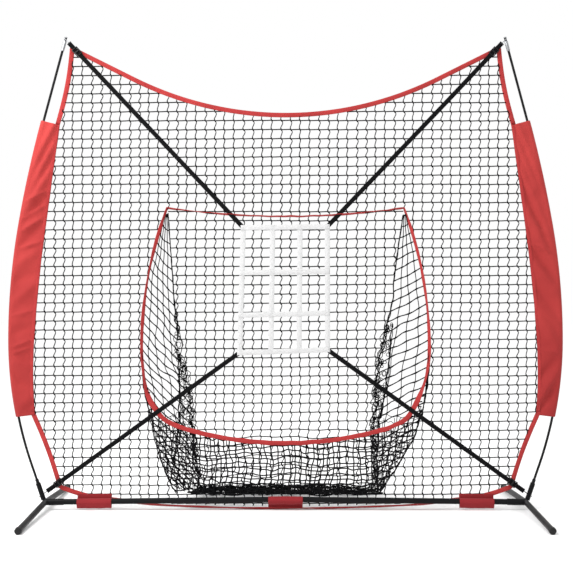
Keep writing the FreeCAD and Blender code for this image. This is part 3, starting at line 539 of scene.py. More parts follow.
def buildStage():
    bpy.ops.object.select_all(action="DESELECT")
    bpy.ops.mesh.primitive_plane_add(size=60, location=(0, 0, studio["floorZ"]))
    floor = bpy.context.object
    floor.name = "floor"
    floor.data.materials.append(newMaterial("paleFloor", {
        "Base Color": srgb("#fbfbfb"), "Roughness": 0.9, "Specular IOR Level": 0.1})[0])
    buildSurroundings()
    for name, place, size, power in studio["lamps"]:
        lamp = bpy.data.lights.new(name, "AREA")
        lamp.energy, lamp.size = power, size
        holder = newObject(name, lamp)
        holder.location = place
        holder.rotation_euler = (Vector(studio["aim"]) - Vector(place)).to_track_quat("-Z", "Y").to_euler()
    cameraData = bpy.data.cameras.new("camera")
    cameraData.sensor_width, cameraData.lens = studio["sensor"], studio["lens"]
    camera = newObject("camera", cameraData)
    camera.location = eye
    camera.rotation_euler = (math.pi / 2 + pitchUp, 0, 0)
    bpy.context.scene.camera = camera
    bpy.context.scene.view_settings.view_transform = "Standard"


buildStage()
print("stage ready")


# Outlines of the net, in its plane

net = {"cornerFromTip": (0.017, 0.033), "cornerBottom": (0.885, 0.082), "topSag": 0.262,
       "topSlope": 26.5, "bottomClear": 0.004, "bottomRise": 0.025, "flatHalf": 0.675,
       "sleeve": (0.355, 1.510), "sleeveEdge": (0.047, 0.082, 0.047), "tape": 0.018,
       "columns": (0.0190, 0.03682), "rows": (0.9102, 0.03547), "cord": 0.0020, "rowCord": 1.12,
       "bowLow": 0.007, "bowHigh": 0.009, "tapeCover": (0.0145, 0.0085), "uneven": 0.0030}


def topCorner():
    x, z = polePoint(poleLength())
    return x - net["cornerFromTip"][0], z - net["cornerFromTip"][1]


def topEdge(x):
    cx, cz = topCorner()
    slope = math.radians(net["topSlope"])
    radius = (cx * math.tan(slope) - net["topSag"]) / (1 / math.cos(slope) - 1)
    turnX = radius * math.sin(slope)
    if abs(x) > turnX:
        return cz - (cx - abs(x)) * math.tan(slope)
    return cz - net["topSag"] + radius - math.sqrt(radius ** 2 - x ** 2)


def bottomEdge(x):
    flat, rise = net["flatHalf"], net["bottomRise"]
    radius = (flat ** 2 + rise ** 2) / (2 * rise)
    if abs(x) <= flat:
        return net["bottomClear"] + radius - math.sqrt(radius ** 2 - x ** 2)
    slope = 2 * math.atan2(rise, flat)
    cx, cz = net["cornerBottom"]
    run = cx - flat
    lift = (cz - net["bottomClear"] - rise - slope * run) / run ** 2
    out = abs(x) - flat
    return net["bottomClear"] + rise + slope * out + lift * out ** 2


def edgeInwards(s):
    # pole's axis to the net's edge, widest at the middle of the sleeve
    (start, end), (low, middle, high) = net["sleeve"], net["sleeveEdge"]
    share = (s - start) / (end - start)
    ends = low + (high - low) * share
    return ends + (middle - (low + high) / 2) * 4 * share * (1 - share)


def alongSleeve(count):
    # even places along the pole from the sleeve's foot to its top
    return [between(*net["sleeve"], share) for share in shares(count)]


def mirrored(line):
    return [(-x, z) for x, z in line[::-1]]


def bowed(start, end, reach, count):
    # straight line between two (x, z) points, drawn a little inwards by the net's pull
    return [(between(start[0], end[0], share) - reach * math.sin(math.pi * share),
             between(start[1], end[1], share)) for share in shares(count)]


def netOutline(inset, lowInset):
    # the whole edge, anticlockwise from the bottom middle
    (cx, cz), (tx, tz) = net["cornerBottom"], topCorner()
    half = [(x, bottomEdge(x) + between(lowInset, inset, smoothStep(0.52, 0.70, x)))
            for x in [cx * share for share in shares(30)[:-1]]]
    side = [polePoint(s, edgeInwards(s) + inset) for s in alongSleeve(40)]
    half += bowed((cx - inset, cz + inset), side[0], net["bowLow"], 12)[:-1]
    half += side[:-1] + bowed(side[-1], (tx - inset, tz - inset * 1.5), net["bowHigh"], 12)
    half += [(x, topEdge(x) - inset * 1.1) for x in [tx * (1 - share) for share in shares(30)[1:]]]
    return half + mirrored(half)


mouth = {"topHalf": 0.461, "topZ": 1.173, "topSag": 0.033, "wideHalf": 0.560, "wideZ": 0.627,
         "lowHalf": 0.469, "lowZ": 0.347, "rimHalf": 0.401, "rimZ": 0.316, "rimSag": 0.0585,
         "frontHalf": 0.523, "frontZ": 0.345, "footHalf": 0.385, "footZ": 0.062,
         "settleLeft": 0.036, "settleRight": 0.020}


def tangentBow(end, wide, count):
    # arc that stands upright at its widest point
    dx, dz = wide[0] - end[0], end[1] - wide[1]
    radius = (dx * dx + dz * dz) / (2 * dx)
    full = math.asin(dz / radius)
    return [(wide[0] - radius * (1 - math.cos(full * i / count)),
             wide[1] + radius * math.sin(full * i / count)) for i in range(count, -1, -1)]


def upperBow():
    return tangentBow((mouth["topHalf"], mouth["topZ"]), (mouth["wideHalf"], mouth["wideZ"]), 24)


def frontSide():
    return arcThrough((mouth["wideHalf"], mouth["wideZ"]), (mouth["frontHalf"], mouth["frontZ"]),
                      (mouth["footHalf"], mouth["footZ"]), 24)


def mouthTop(count):
    half, z = mouth["topHalf"], mouth["topZ"]
    return arcThrough((-half, z), (0, z - mouth["topSag"]), (half, z), count)


def mouthOutline():
    # the pocket's rim: sagging top, bowed sides, deep lower edge
    lower = tangentBow((mouth["lowHalf"], mouth["lowZ"]), (mouth["wideHalf"], mouth["wideZ"]), 16)[::-1]
    rim = arcThrough((mouth["rimHalf"], mouth["rimZ"]), (0, mouth["rimZ"] - mouth["rimSag"]),
                     (-mouth["rimHalf"], mouth["rimZ"]), 40)
    right = upperBow() + lower[1:]
    return mouthTop(40)[:-1] + right + rim + mirrored(right)[:-1]


def settled(points, side):
    # low down the slack pocket has settled towards the pitcher's left
    reach = mouth["settleLeft"] if side < 0 else mouth["settleRight"]
    return [(x - side * reach * smoothStep(0.36, 0.08, z), z) for x, z in points]


def frontLine(side):
    # distance from the middle of one edge of the pocket's front, by height
    return settled(upperBow() + frontSide()[1:], side)


def pocketOutline():
    # hole of the main net: the mouth above, the pocket's front below
    return mouthTop(40)[:-1] + frontLine(1) + mirrored(frontLine(-1))[:-1]


def crossings(polygon, value, axis):
    found = []
    for a, b in zip(polygon, polygon[1:] + polygon[:1]):
        if (a[axis] > value) != (b[axis] > value):
            share = (value - a[axis]) / (b[axis] - a[axis])
            found.append(a[1 - axis] + share * (b[1 - axis] - a[1 - axis]))
    return found


def spans(polygons, value, axis):
    # stretches of a straight line, upright (0) or level (1), that lie on the net
    marks = sorted(mark for polygon in polygons for mark in crossings(polygon, value, axis))
    return [(a, b) for a, b in zip(marks[::2], marks[1::2]) if b - a > 0.004]


def inside(polygon, x, z):
    return sum(mark > z for mark in crossings(polygon, x, 0)) % 2 == 1


def uneven(x, z):
    # slow unevenness of a knotted net
    shift = driftAt(x * 2.3, 1.7, z * 2.3)
    return x + shift.x * net["uneven"], z + shift.z * net["uneven"]


# Main net: upright cords kink at each knot, level cords run nearly straight

knotKinks = {"strong": ((-0.0016, -0.0275, 1.0), (0.0028, -0.0200, 1.0), (0.0066, -0.0115, 1.0),
                        (0.0062, -0.0068, 1.0), (0.0022, -0.0022, 1.55), (-0.0012, 0.0022, 1.55)),
             "mild": ((-0.0034, -0.0275, 1.0), (-0.0016, -0.0190, 1.0), (0.0017, -0.0105, 1.0),
                      (0.0027, -0.0062, 1.0), (0.0015, -0.0022, 1.55), (-0.0015, 0.0022, 1.55))}


def columnLine(index, low, high):
    # two columns in four were knotted the other way round, and kink more strongly
    first, pitch = net["rows"]
    x = net["columns"][0] + index * net["columns"][1]
    kinks = knotKinks["strong" if index % 4 in (0, 3) else "mild"]
    points, scales = [(x, low)], [1.0]
    for row in range(math.floor((low - first) / pitch), math.ceil((high - first) / pitch) + 2):
        own = 0.84 + 0.35 * noiseAt(index * 1.7, row * 2.3, 0.5)
        for dx, dz, swell in kinks:
            z = first + row * pitch + dz
            if low + 0.002 < z < high - 0.002:
                points.append((x + dx * own, z))
                scales.append(swell)
    return points + [(x, high)], scales + [1.0]


def rowLine(index, low, high):
    first, pitch = net["columns"]
    z = net["rows"][0] + index * net["rows"][1]
    points = [(low, z)]
    for column in range(math.floor((low - first) / pitch), math.ceil((high - first) / pitch) + 1):
        for dx, dz in ((-0.0014, 0.0007), (0.0014, -0.0006), (pitch / 2, -0.0001)):
            x = first + column * pitch + dx
            if low + 0.002 < x < high - 0.002:
                points.append((x, z + dz))
    return points + [(high, z)]


def wovenPlane(skins, polygons, place):
    # cuts both sets of cords to the outlines and puts each point in its place in space
    rowCord = net["cord"] * net["rowCord"]
    for index in range(-30, 30):
        x = net["columns"][0] + index * net["columns"][1]
        for low, high in spans(polygons, x, 0):
            points, scales = columnLine(index, low, high)
            addCord(skins[0 if x < 0 else -1], [place(*uneven(*p)) for p in points], net["cord"], scales)
    for index in range(-30, 30):
        for low, high in spans(polygons, net["rows"][0] + index * net["rows"][1], 1):
            line = [place(*uneven(*p)) for p in rowLine(index, low, high)]
            if len(skins) == 2 and low < 0 < high:
                middle = sum(p.x < 0 for p in line)
                addCord(skins[0], line[:middle + 1], rowCord)
                addCord(skins[1], line[middle:], rowCord)
            else:
                addCord(skins[0 if high <= 0 else -1], line, rowCord)


def onNetPlane(x, z):
    return Vector((x, netY + 0.003 * noiseAt(x * 3.1, 9.0, z * 3.1), z))


def buildMainNet():
    skins = [newSkin(), newSkin()]
    wovenPlane(skins, [netOutline(*net["tapeCover"]), pocketOutline()], onNetPlane)
    for skin, word in zip(skins, ("left", "right")):
        asPiece(word + "MainNet", skin, "net_cord", ["main_net"])


buildMainNet()
print("main net ready")


# Pocket

back = {"y": 0.0198, "top": 1.140, "slope": 0.303}


def onBack(x, z):
    # from the net's plane to the pocket's sloping back, along the pitcher's line of sight
    rise, slope = z - eye.z, back["slope"]
    reach = (back["y"] + slope * (back["top"] - eye.z) - eye.y) / (netY - eye.y + slope * rise)
    return Vector((eye.x + reach * (x - eye.x), eye.y + reach * (netY - eye.y), eye.z + reach * rise))


seams = {"left": [(-0.4577, 1.1535), (-0.4390, 0.8925), (-0.4280, 0.7480), (-0.4110, 0.5810),
                  (-0.3837, 0.4990), (-0.3697, 0.3980), (-0.3623, 0.3240), (-0.3330, 0.0744)],
         "right": [(0.4578, 1.1457), (0.4227, 0.8925), (0.4188, 0.8185), (0.3759, 0.6395),
                   (0.3565, 0.5304), (0.3487, 0.3823), (0.3409, 0.3122), (0.3487, 0.0744)]}


def smoothLine(points):
    return [(p.x, p.y) for p in throughPoints([Vector((x, z, 0)) for x, z in points], 6)]


def xAt(line, z):
    # x of a falling line at a height
    for a, b in zip(line, line[1:]):
        if a[1] >= z >= b[1]:
            return a[0] + (b[0] - a[0]) * (a[1] - z) / max(a[1] - b[1], 1e-9)
    return line[0][0] if z > line[0][1] else line[-1][0]


def loose(x, z):
    # low down the pocket's net hangs slack, and its mesh drifts out of line
    slack, shift = smoothStep(0.36, 0.22, z), driftAt(x * 9.0, 3.3, z * 9.0)
    return onBack(x + slack * 0.020 * shift.x, z + slack * 0.022 * shift.z)


def buildPocketBack():
    skin = newSkin()
    edge = mouthTop(30) + smoothLine(seams["right"]) + smoothLine(seams["left"])[::-1]
    wovenPlane([skin], [edge], loose)
    asPiece("pocketBackNet", skin, "net_cord", ["pocket_back_net"])


sideNets = {"top": 1.150, "low": 0.074, "pitch": 0.0350, "drift": 0.012, "thin": 0.85, "thick": 1.12,
            "gatherTop": 0.37, "gatherPitch": 0.021, "gatherCord": 0.0015, "gatherSlack": 0.013,
            "left": {"columns": 5, "slope": 1.20, "gathers": 11},
            "right": {"columns": 4, "slope": 0.52, "gathers": 9}}


def sidePlace(word, side):
    # rule that puts (height, share from the rim to the seam) in space
    seam, rim = smoothLine(seams[word]), frontLine(side)

    def place(z, share, drift=sideNets["drift"]):
        z = min(max(z, sideNets["low"]), sideNets["top"])
        onRim = Vector((side * xAt(rim, z), netY + 0.0015, z))
        point = onRim.lerp(onBack(xAt(seam, z), z), share)
        return point + noise.noise_vector(point * 13.0) * drift * math.sin(math.pi * share)

    return place


def buildPocketSides():
    top, low = sideNets["top"], sideNets["low"]
    for word, side in hands:
        spec, skin, place = sideNets[word], newSkin(), sidePlace(word, side)
        seam, rim = smoothLine(seams[word]), frontLine(side)
        for i in range(1, spec["columns"]):
            line = [place(between(top, low, down), i / spec["columns"]) for down in shares(90)]
            addCord(skin, line, net["cord"] * sideNets["thin"])
        for j in range(-6, 34):
            start = top - j * sideNets["pitch"]
            level = min(start, top)
            rise = spec["slope"] * (abs(xAt(seam, level)) - xAt(rim, level))
            line, scales = [], []
            for k, share in enumerate(shares(spec["columns"] * 3)):
                if low < start + rise * share < top:
                    line.append(place(start + rise * share, share))
                    scales.append(1.5 if k % 3 == 0 else 1.0)
            addCord(skin, line, net["cord"] * sideNets["thick"], scales)
        asPiece(word + "PocketSideNet", skin, "net_cord", [word + "_pocket_side_net"])


def buildPocketGathers():
    # spare side net bunched in the pocket's lower corners: small slack cells, no two alike
    top, low, pitch = sideNets["gatherTop"], sideNets["low"], sideNets["gatherPitch"]
    cord = sideNets["gatherCord"]
    for word, side in hands:
        gathers, skin, place = sideNets[word]["gathers"], newSkin(), sidePlace(word, side)
        draw = random.Random(23)

        def slack(z, share):
            point = place(z, min(max(share, 0.0), 1.0), 0.0)
            return point + noise.noise_vector(point * 38.0) * sideNets["gatherSlack"]

        for i in range(gathers + 1):
            share = (i + draw.uniform(-0.3, 0.3)) / gathers
            high = top + draw.uniform(-0.05, 0.03)
            addCord(skin, [slack(between(low, high, up), share) for up in shares(44)], cord, sides=5)
        for j in range(round((top - low) / pitch)):
            start, end = draw.uniform(0.0, 0.2), draw.uniform(0.8, 1.0)
            tilt = draw.uniform(-0.03, 0.03)
            line = [slack(low + j * pitch + tilt * part, between(start, end, part)) for part in shares(24)]
            addCord(skin, line, cord, sides=5)
        asPiece(word + "PocketGather", skin, "net_cord")


front = {"across": 0.0235, "down": 0.0205, "cord": 0.0026, "half": 0.58, "top": 0.640, "columnTop": 0.66,
         "drift": 0.030, "fineDrift": 0.008, "sag": 0.016}


def slackFront(x, z):
    # below the rim the mesh hangs slack: it sags between its sides and its cells drift
    low = smoothStep(0.42, 0.24, z)
    shift = driftAt(x * 6.0, 7.7, z * 6.0) * front["drift"] * (0.35 + 0.65 * low)
    shift += driftAt(x * 31.0, 2.7, z * 31.0) * front["fineDrift"]
    return x + shift.x, z + shift.z - front["sag"] * math.cos(math.pi * x / 0.9) * low


def buildPocketFront():
    skin = newSkin()
    edge = settled(frontSide(), 1) + mirrored(settled(frontSide(), -1))
    opening = mouthOutline()

    def clipped(points):
        run = []
        for x, z in points + [(0.0, -1.0)]:  # the last point is outside and ends the last run
            if inside(edge, x, z) and not inside(opening, x, z):
                run.append(Vector((x, netY + 0.004 * noiseAt(x * 8, 2.0, z * 8), z)))
            else:
                if len(run) > 2:
                    addCord(skin, run, front["cord"])
                run = []

    columns = round(front["half"] / front["across"])
    for i in range(-columns, columns + 1):
        x = i * front["across"] + 0.004
        clipped([slackFront(x, front["columnTop"] - 0.0065 * k) for k in range(98)])
    for j in range(round(front["top"] / front["down"])):
        z = front["top"] - j * front["down"]
        clipped([slackFront(-front["half"] + 0.0082 * k, z) for k in range(142)])
    asPiece("pocketFrontNet", skin, "net_cord", ["pocket_front_net"])


def wiggly(line, reach, pitch, seed):
    # a slack cord that wanders about its line; reach is a length or a rule along it
    result = []
    for i, p in enumerate(evenly(line, pitch)):
        shift = driftAt(i * 0.33, seed * 13.7, 0.0) * 2.0
        result.append(p + shift * (reach(p) if callable(reach) else reach))
    return result


folds = {"left": [(-0.4150, 0.605), (-0.4168, 0.542), (-0.4133, 0.411), (-0.4207, 0.310), (-0.4347, 0.180)],
         "right": [(0.4150, 0.720), (0.4079, 0.639), (0.4009, 0.534), (0.3833, 0.421), (0.3619, 0.324),
                   (0.3600, 0.240)],
         "bunch": {"left": 0.014, "right": 0.011}, "cord": 0.0017, "ring": 0.0014,
         "cords": 5, "secondCords": 4, "rimCords": 3, "seamRings": 44, "foldRings": 54}


def addRing(skin, middle, draw):
    # one slack loop of the net, standing any way round
    wide, tall, turn = draw.uniform(0.004, 0.010), draw.uniform(0.005, 0.013), draw.uniform(0, math.pi)
    ring = [middle + Vector((wide * math.cos(t), 0.5 * wide * math.sin(t + turn), tall * math.sin(t)))
            for t in turnsRound(9)]
    addCord(skin, ring, folds["ring"], sides=5, closed=True)


def buildSeams():
    # gathered cords where the sides meet the back, a second fold beside them with slack loops
    # between, and the laced edge where the front meets the main net
    for word, side in hands:
        skin, place, draw = newSkin(), sidePlace(word, side), random.Random(31)
        bunch, fold, seam = folds["bunch"][word], folds[word], smoothLine(seams[word])
        rimLine = frontLine(side)

        def spread(p):
            return 0.0015 + bunch * smoothStep(0.82, 0.62, p.z)

        def foldShare(z):
            rim = xAt(rimLine, z)
            return min(max((rim - abs(xAt(fold, z))) / (rim - abs(xAt(seam, z))), 0.0), 1.0)

        first = [onBack(x, z) for x, z in seam]
        second = [place(z, foldShare(z), 0.0) for x, z in smoothLine(fold)]
        rim = [Vector((side * x, netY, z)) for x, z in settled(frontSide(), side)]
        for k in range(folds["cords"]):
            addCord(skin, wiggly(first, spread, 0.010, k + (9 if side > 0 else 0)), folds["cord"], sides=5)
        for k in range(folds["secondCords"]):
            addCord(skin, wiggly(second, 0.0045, 0.010, k + 51), folds["cord"], sides=5)
        for k in range(folds["seamRings"]):
            z = draw.uniform(0.12, 0.72)
            off = Vector((draw.uniform(-1, 1), draw.uniform(-1, 1), 0)) * bunch * 0.7
            addRing(skin, place(z, 1.0, 0.0) + off, draw)
        for k in range(folds["foldRings"]):
            z = draw.uniform(fold[-1][1], fold[0][1])
            addRing(skin, place(z, between(foldShare(z), 1, draw.uniform(0, 1)), 0.0), draw)
        for k in range(folds["rimCords"]):
            addCord(skin, wiggly(rim, 0.0035, 0.011, k + 31 + side), folds["cord"], sides=5)
        asPiece(word + "PocketSeam", skin, "net_cord")


floorNet = {"front": 0.02, "deep": 0.33, "high": 0.062, "low": 0.018, "across": 0.0378, "down": 0.033,
            "half": 0.375, "swell": 0.018, "cord": 1.1}


def buildPocketFloor():
    skin, start, cord = newSkin(), floorNet["front"], net["cord"] * floorNet["cord"]

    def place(x, y):
        height = between(floorNet["high"], floorNet["low"], (y - start) / floorNet["deep"])
        return Vector((x, y, height + floorNet["swell"] * noiseAt(x * 9, y * 9, 0.3)))

    for i in range(-10, 11):
        line = [place(i * floorNet["across"] + 0.010 * noiseAt(i * 3.1, k * 0.2, 5.0),
                      start + floorNet["deep"] * share) for k, share in enumerate(shares(30))]
        addCord(skin, line, cord)
    for j in range(10):
        line = [place(floorNet["half"] * (2 * share - 1),
                      start + floorNet["down"] * j + 0.012 * noiseAt(k * 0.2, j * 2.0, 1.0))
                for k, share in enumerate(shares(60))]
        addCord(skin, line, cord)
    asPiece("pocketFloorNet", skin, "net_cord", ["pocket_floor_net"])


heap = {"half": 0.388, "y": 0.372, "height": 0.043, "depth": 0.038, "ground": 0.0018, "core": 0.0050,
        "coreLength": 0.77, "strands": 16, "strand": 0.0015, "loops": 230, "loop": 0.0016}


def inHeap(x, angle, reach):
    # point round the heap's middle line, at a share of its uneven size
    swell = 0.86 + 0.28 * noiseAt(x * 9.0, 0.0, 2.0) + 0.06 * math.cos(math.pi * x / 0.9)
    swell *= smoothStep(-0.01, 0.035, heap["half"] - abs(x)) * 0.5 + 0.5
    y = heap["y"] + heap["depth"] / 2 * reach * swell * math.cos(angle)
    z = 0.003 + heap["height"] / 2 * swell * (1 + reach * math.sin(angle))
    return Vector((x, y, max(z, heap["ground"])))


def buildHeap():
    # spare net heaped along the pocket's hem, on the ground
    skin, draw, half = newSkin(), random.Random(11), heap["half"]
    core = [inHeap(-half + heap["coreLength"] * share, 0.0, 0.0) for share in shares(40)]
    sizes = [0.72 * (p.z - 0.002) / 0.02 for p in core]
    sweep(skin, core, roundProfile(heap["core"], 8), scales=sizes, turns=True)
    for k in range(heap["strands"]):
        phase, reach = draw.uniform(0, 2 * math.pi), draw.uniform(0.45, 0.92)
        start, end = sorted((draw.uniform(-1, 1), draw.uniform(-1, 1)))
        if end - start < 0.5:
            start, end = -0.95, 0.95
        places = [half * between(start, end, share) for share in shares(55)]
        line = [inHeap(x, phase + 2.6 * noiseAt(x * 9.0, k * 4.1, 0.0), reach) for x in places]
        addCord(skin, line, heap["strand"], sides=5)
    for k in range(heap["loops"]):
        middle, wide = draw.uniform(-0.93, 0.93) * half, draw.uniform(0.005, 0.017)
        turn, lean, reach = draw.uniform(-0.6, 3.6), draw.uniform(-1.2, 1.2), draw.uniform(0.70, 1.30)
        line = [inHeap(middle + wide * math.cos(t), turn + lean * math.sin(t), reach) for t in turnsRound(10)]
        addCord(skin, line, heap["loop"], sides=5, closed=True)
    asPiece("pocketHeap", skin, "net_cord", ["pocket_gather"])


buildPocketBack()
buildPocketSides()
buildPocketGathers()
buildPocketFront()
buildSeams()
buildPocketFloor()
buildHeap()
print("pocket ready")


# Sewn edges

def turnedAcross(points, angles, closed=False):
    # width direction of a tape that lies in the net's plane and is turned out of it by an angle
    result = []
    count = len(points)
    for i, angle in enumerate(angles):
        before = points[i - 1] if i or closed else points[i]
        after = points[(i + 1) % count] if i < count - 1 or closed else points[i]
        along = (after - before).normalized()
        flat = Vector((0, 1, 0)).cross(along).normalized()
        result.append(flat * math.cos(angle) + Vector((0, 1, 0)) * math.sin(angle))
    return result


def flutter(points, degrees, seed):
    # small uneven turns of a tape out of its plane
    return [math.radians(degrees) * 2 * noise.noise(p * 7.0 + Vector((0, seed, 0))) for p in points]


def addTape(skin, line, angles, width, thick, scales=None, closed=False):
    addBand(skin, line, turnedAcross(line, angles, closed), width, thick, scales, closed)


tapes = {"width": 0.018, "thick": 0.0034, "step": 0.012, "bottomTurn": 65.0, "lowest": 0.0008,
         "mouthWidth": 0.0160, "mouthThick": 0.0022, "mouthStep": 0.011, "topTurn": 68, "sideTurn": 47,
         "lashings": (-0.296, 0.325), "lashReach": 0.017, "lashRound": 0.0042, "lashCord": 0.0015}


def buildTopTape():
    # the sides' tapes bow a little inwards and lap behind the top one
    skin, half = newSkin(), tapes["width"] / 2
    tx, tz = topCorner()
    line = evenly([Vector((x, netY - 0.0010, topEdge(x) - half * 1.08))
                   for x in [tx * (1 - 2 * share) for share in shares(80)]], tapes["step"])
    addTape(skin, line, flutter(line, 12, 3.0), tapes["width"], tapes["thick"])
    low = polePoint(net["sleeve"][1], net["sleeveEdge"][2] + half)
    for side in (1, -1):
        line = [Vector((side * x, netY + 0.0012, z))
                for x, z in bowed(low, (tx - half * 0.8, tz - 0.006), net["bowHigh"], 20)]
        addTape(skin, line, flutter(line, 12, 4.0), tapes["width"] * 1.04, tapes["thick"] * 0.8)
    asPiece("topEdgeTape", skin, "edge_tape", ["top_binding"])


def bottomTurn(x):
    # the bottom tape lies nearly flat in the middle and upright at the corners
    return math.radians(tapes["bottomTurn"]) * smoothStep(0.70, 0.52, abs(x))


def buildBottomTape():
    skin, half = newSkin(), tapes["width"] / 2
    cx, cz = net["cornerBottom"]
    low = []
    for x in [cx * i / 60 for i in range(60)]:
        z = max(bottomEdge(x) - 0.004 * smoothStep(0.70, 0.5, x), tapes["lowest"])
        low.append(Vector((x, netY, z + half * math.cos(bottomTurn(x)))))
    corner = polePoint(net["sleeve"][0], net["sleeveEdge"][0] + half)
    low += [Vector((x, netY, z))
            for x, z in bowed(Vector((cx - half * 0.8, cz + half * 0.8)), corner, net["bowLow"], 22)]
    line = evenly([Vector((-p.x, p.y, p.z)) for p in low[:0:-1]] + low, tapes["step"])
    turns = [bottomTurn(p.x) + more for p, more in zip(line, flutter(line, 10, 5.0))]
    addTape(skin, line, turns, tapes["width"], tapes["thick"])
    asPiece("bottomEdgeTape", skin, "edge_tape", ["bottom_binding"])


def buildMouthTape():
    # thin and edge-on along the top, twisted down the sides, flat and slack along the bottom
    ring = mouthOutline()
    line = evenly([Vector((x, netY - 0.0036, z)) for x, z in ring + ring[:1]], tapes["mouthStep"])[:-1]
    for k in range(5):
        line = [(line[i - 1] + 2 * p + line[(i + 1) % len(line)]) / 4 if p.z < 0.46 else p
                for i, p in enumerate(line)]
    turns, scales = [], []
    for i, p in enumerate(line):
        outwards = 0.013 * math.exp(-((p.z - 0.43) / 0.08) ** 2) if p.x < 0 else 0.0
        line[i] = p + Vector((-outwards, 0, 0.0025 * noiseAt(p.x * 24, 1.0, 0.0)))
        edgeOn, low = smoothStep(1.10, 1.135, p.z), smoothStep(0.50, 0.38, p.z)
        turns.append(math.radians(tapes["topTurn"]) * edgeOn
                     + math.radians(tapes["sideTurn"]) * (1 - edgeOn) * (1 - low))
        slack = math.exp(-((p.z - 0.45) / 0.07) ** 2)
        scales.append(0.92 + 0.20 * low + 0.28 * slack + 0.16 * noise.noise(p * 26))
    turns = [a + b * (1 - 0.5 * smoothStep(0.40, 0.33, p.z))
             for a, b, p in zip(turns, flutter(line, 16, 8.0), line)]
    skin = newSkin()
    addTape(skin, line, turns, tapes["mouthWidth"], tapes["mouthThick"], scales, True)
    asPiece("mouthTape", skin, "edge_tape", ["mouth_binding"])


def buildLashings():
    # two short lashings that tie the mouth's top to the net
    skin, size = newSkin(), tapes["lashRound"]
    for middle in tapes["lashings"]:
        line = []
        for k in range(32):
            x = middle - tapes["lashReach"] + 0.0011 * k
            z = mouth["topZ"] - mouth["topSag"] * (1 - (x / mouth["topHalf"]) ** 2)
            line.append(Vector((x, netY - 0.0034 + size * math.cos(k * 1.6), z + size * math.sin(k * 1.6))))
        addCord(skin, line, tapes["lashCord"])
    asPiece("mouthLashings", skin, "net_cord")


buildTopTape()
buildBottomTape()
buildMouthTape()
buildLashings()
print("sewn edges ready")


# Sleeves: doubled cloth round each pole, hemmed on to the net

sleeve = {"round": 0.0098, "hemThick": 0.0021, "cloth": 0.0007, "fold": 0.0150, "stitches": (0.006, 0.014),
          "endDrop": 0.010, "endSlope": 0.10, "hemWidth": 0.013, "hemTape": 0.0012, "webColumns": 13,
          "rows": 230, "uvWidth": 0.2,
          "left": [(1.455, 3.0, 0.016, 0.9), (1.400, 3.4, 0.014, -0.8), (1.352, 3.2, 0.018, 1.0),
                   (1.296, 2.8, 0.013, -0.7), (1.255, 2.2, 0.017, 0.9), (1.220, 0.8, 0.006, 0.9),
                   (1.180, 1.6, 0.015, -0.6), (1.158, 0.9, 0.006, 0.9), (1.107, 0.9, 0.007, 1.0),
                   (1.070, 1.4, 0.016, -0.7), (1.022, 0.5, 0.006, 0.8), (0.975, 0.8, 0.020, 0.6),
                   (0.900, 0.4, 0.024, -0.6), (0.835, 0.9, 0.020, 0.6), (0.752, 0.3, 0.010, 0.6),
                   (0.690, 0.4, 0.022, -0.5), (0.631, 0.4, 0.007, 0.7), (0.603, 0.35, 0.006, 0.6),
                   (0.545, -0.5, 0.022, 0.6), (0.470, -0.7, 0.024, -0.5), (0.405, 0.5, 0.020, 0.5)],
          "right": [(1.450, 4.2, 0.016, 0.8), (1.390, 4.8, 0.018, -0.9), (1.335, 4.8, 0.016, 1.0),
                    (1.270, 3.8, 0.017, -0.7), (1.215, 4.4, 0.015, 0.9), (1.150, 4.0, 0.018, -0.8),
                    (1.095, 1.0, 0.006, 0.6), (1.060, 2.8, 0.018, 0.8), (1.010, 0.7, 0.006, 0.6),
                    (0.960, 1.6, 0.020, -0.7), (0.900, 1.2, 0.022, 0.6), (0.810, 1.2, 0.024, -0.6),
                    (0.745, 0.8, 0.010, 0.5), (0.680, 1.8, 0.022, 0.6), (0.600, 0.2, 0.008, 0.5),
                    (0.530, -1.0, 0.020, -0.6), (0.465, -1.6, 0.014, 0.7), (0.410, -1.6, 0.013, -0.6)]}


def foldHeight(word, s, w, depth):
    # slanting folds in the web between the pole and the hem: (place, slant, width, height);
    # the narrow ones are creases with a sharp crest, the wide ones are soft
    height = 0.0
    for place, slant, width, size in sleeve[word]:
        off = (s - place - slant * (w - depth / 2)) / width / math.sqrt(1 + slant * slant)
        height += size * (math.exp(-abs(off)) if width < 0.011 else math.exp(-off * off))
    mask = math.sin(math.pi * min(max(w / depth, 0.0), 1.0)) ** 0.8
    fine = noiseAt(s * 26.0, w * 30.0, 3.0 if word == "left" else 8.0)
    return mask * (sleeve["fold"] * height + 0.0024 * fine)


def webHeight(w, depth):
    # half the way between the two webs, narrowing from the pole to the hem
    return sleeve["hemThick"] + (sleeve["round"] - sleeve["hemThick"]) * (1 - w / depth) ** 0.85


def sleeveSection(word, s, depth):
    # (inwards, y) round the cloth: front web, round the pole, back web
    radius = sleeve["round"]
    web = [between(depth, 0.004, share) for share in shares(sleeve["webColumns"] - 1)]
    points = [(w, -webHeight(w, depth) - foldHeight(word, s, w, depth)) for w in web]
    for turn in [math.pi * i / 10 for i in range(1, 10)]:
        points.append((-radius * math.sin(turn) + 0.004 * abs(math.cos(turn)), -radius * math.cos(turn)))
    return points + [(w, webHeight(w, depth) - 0.55 * foldHeight(word, s, w, depth)) for w in web[::-1]]


def onSleeve(word, side, count, fromEdge, lift):
    # line on the sleeve's front at a distance from its inner edge
    line = []
    for s in alongSleeve(count):
        depth = edgeInwards(s) + net["tape"]
        w = depth - fromEdge
        line.append(poleVector(s, side, w, netY - webHeight(w, depth) - foldHeight(word, s, w, depth) - lift))
    return line


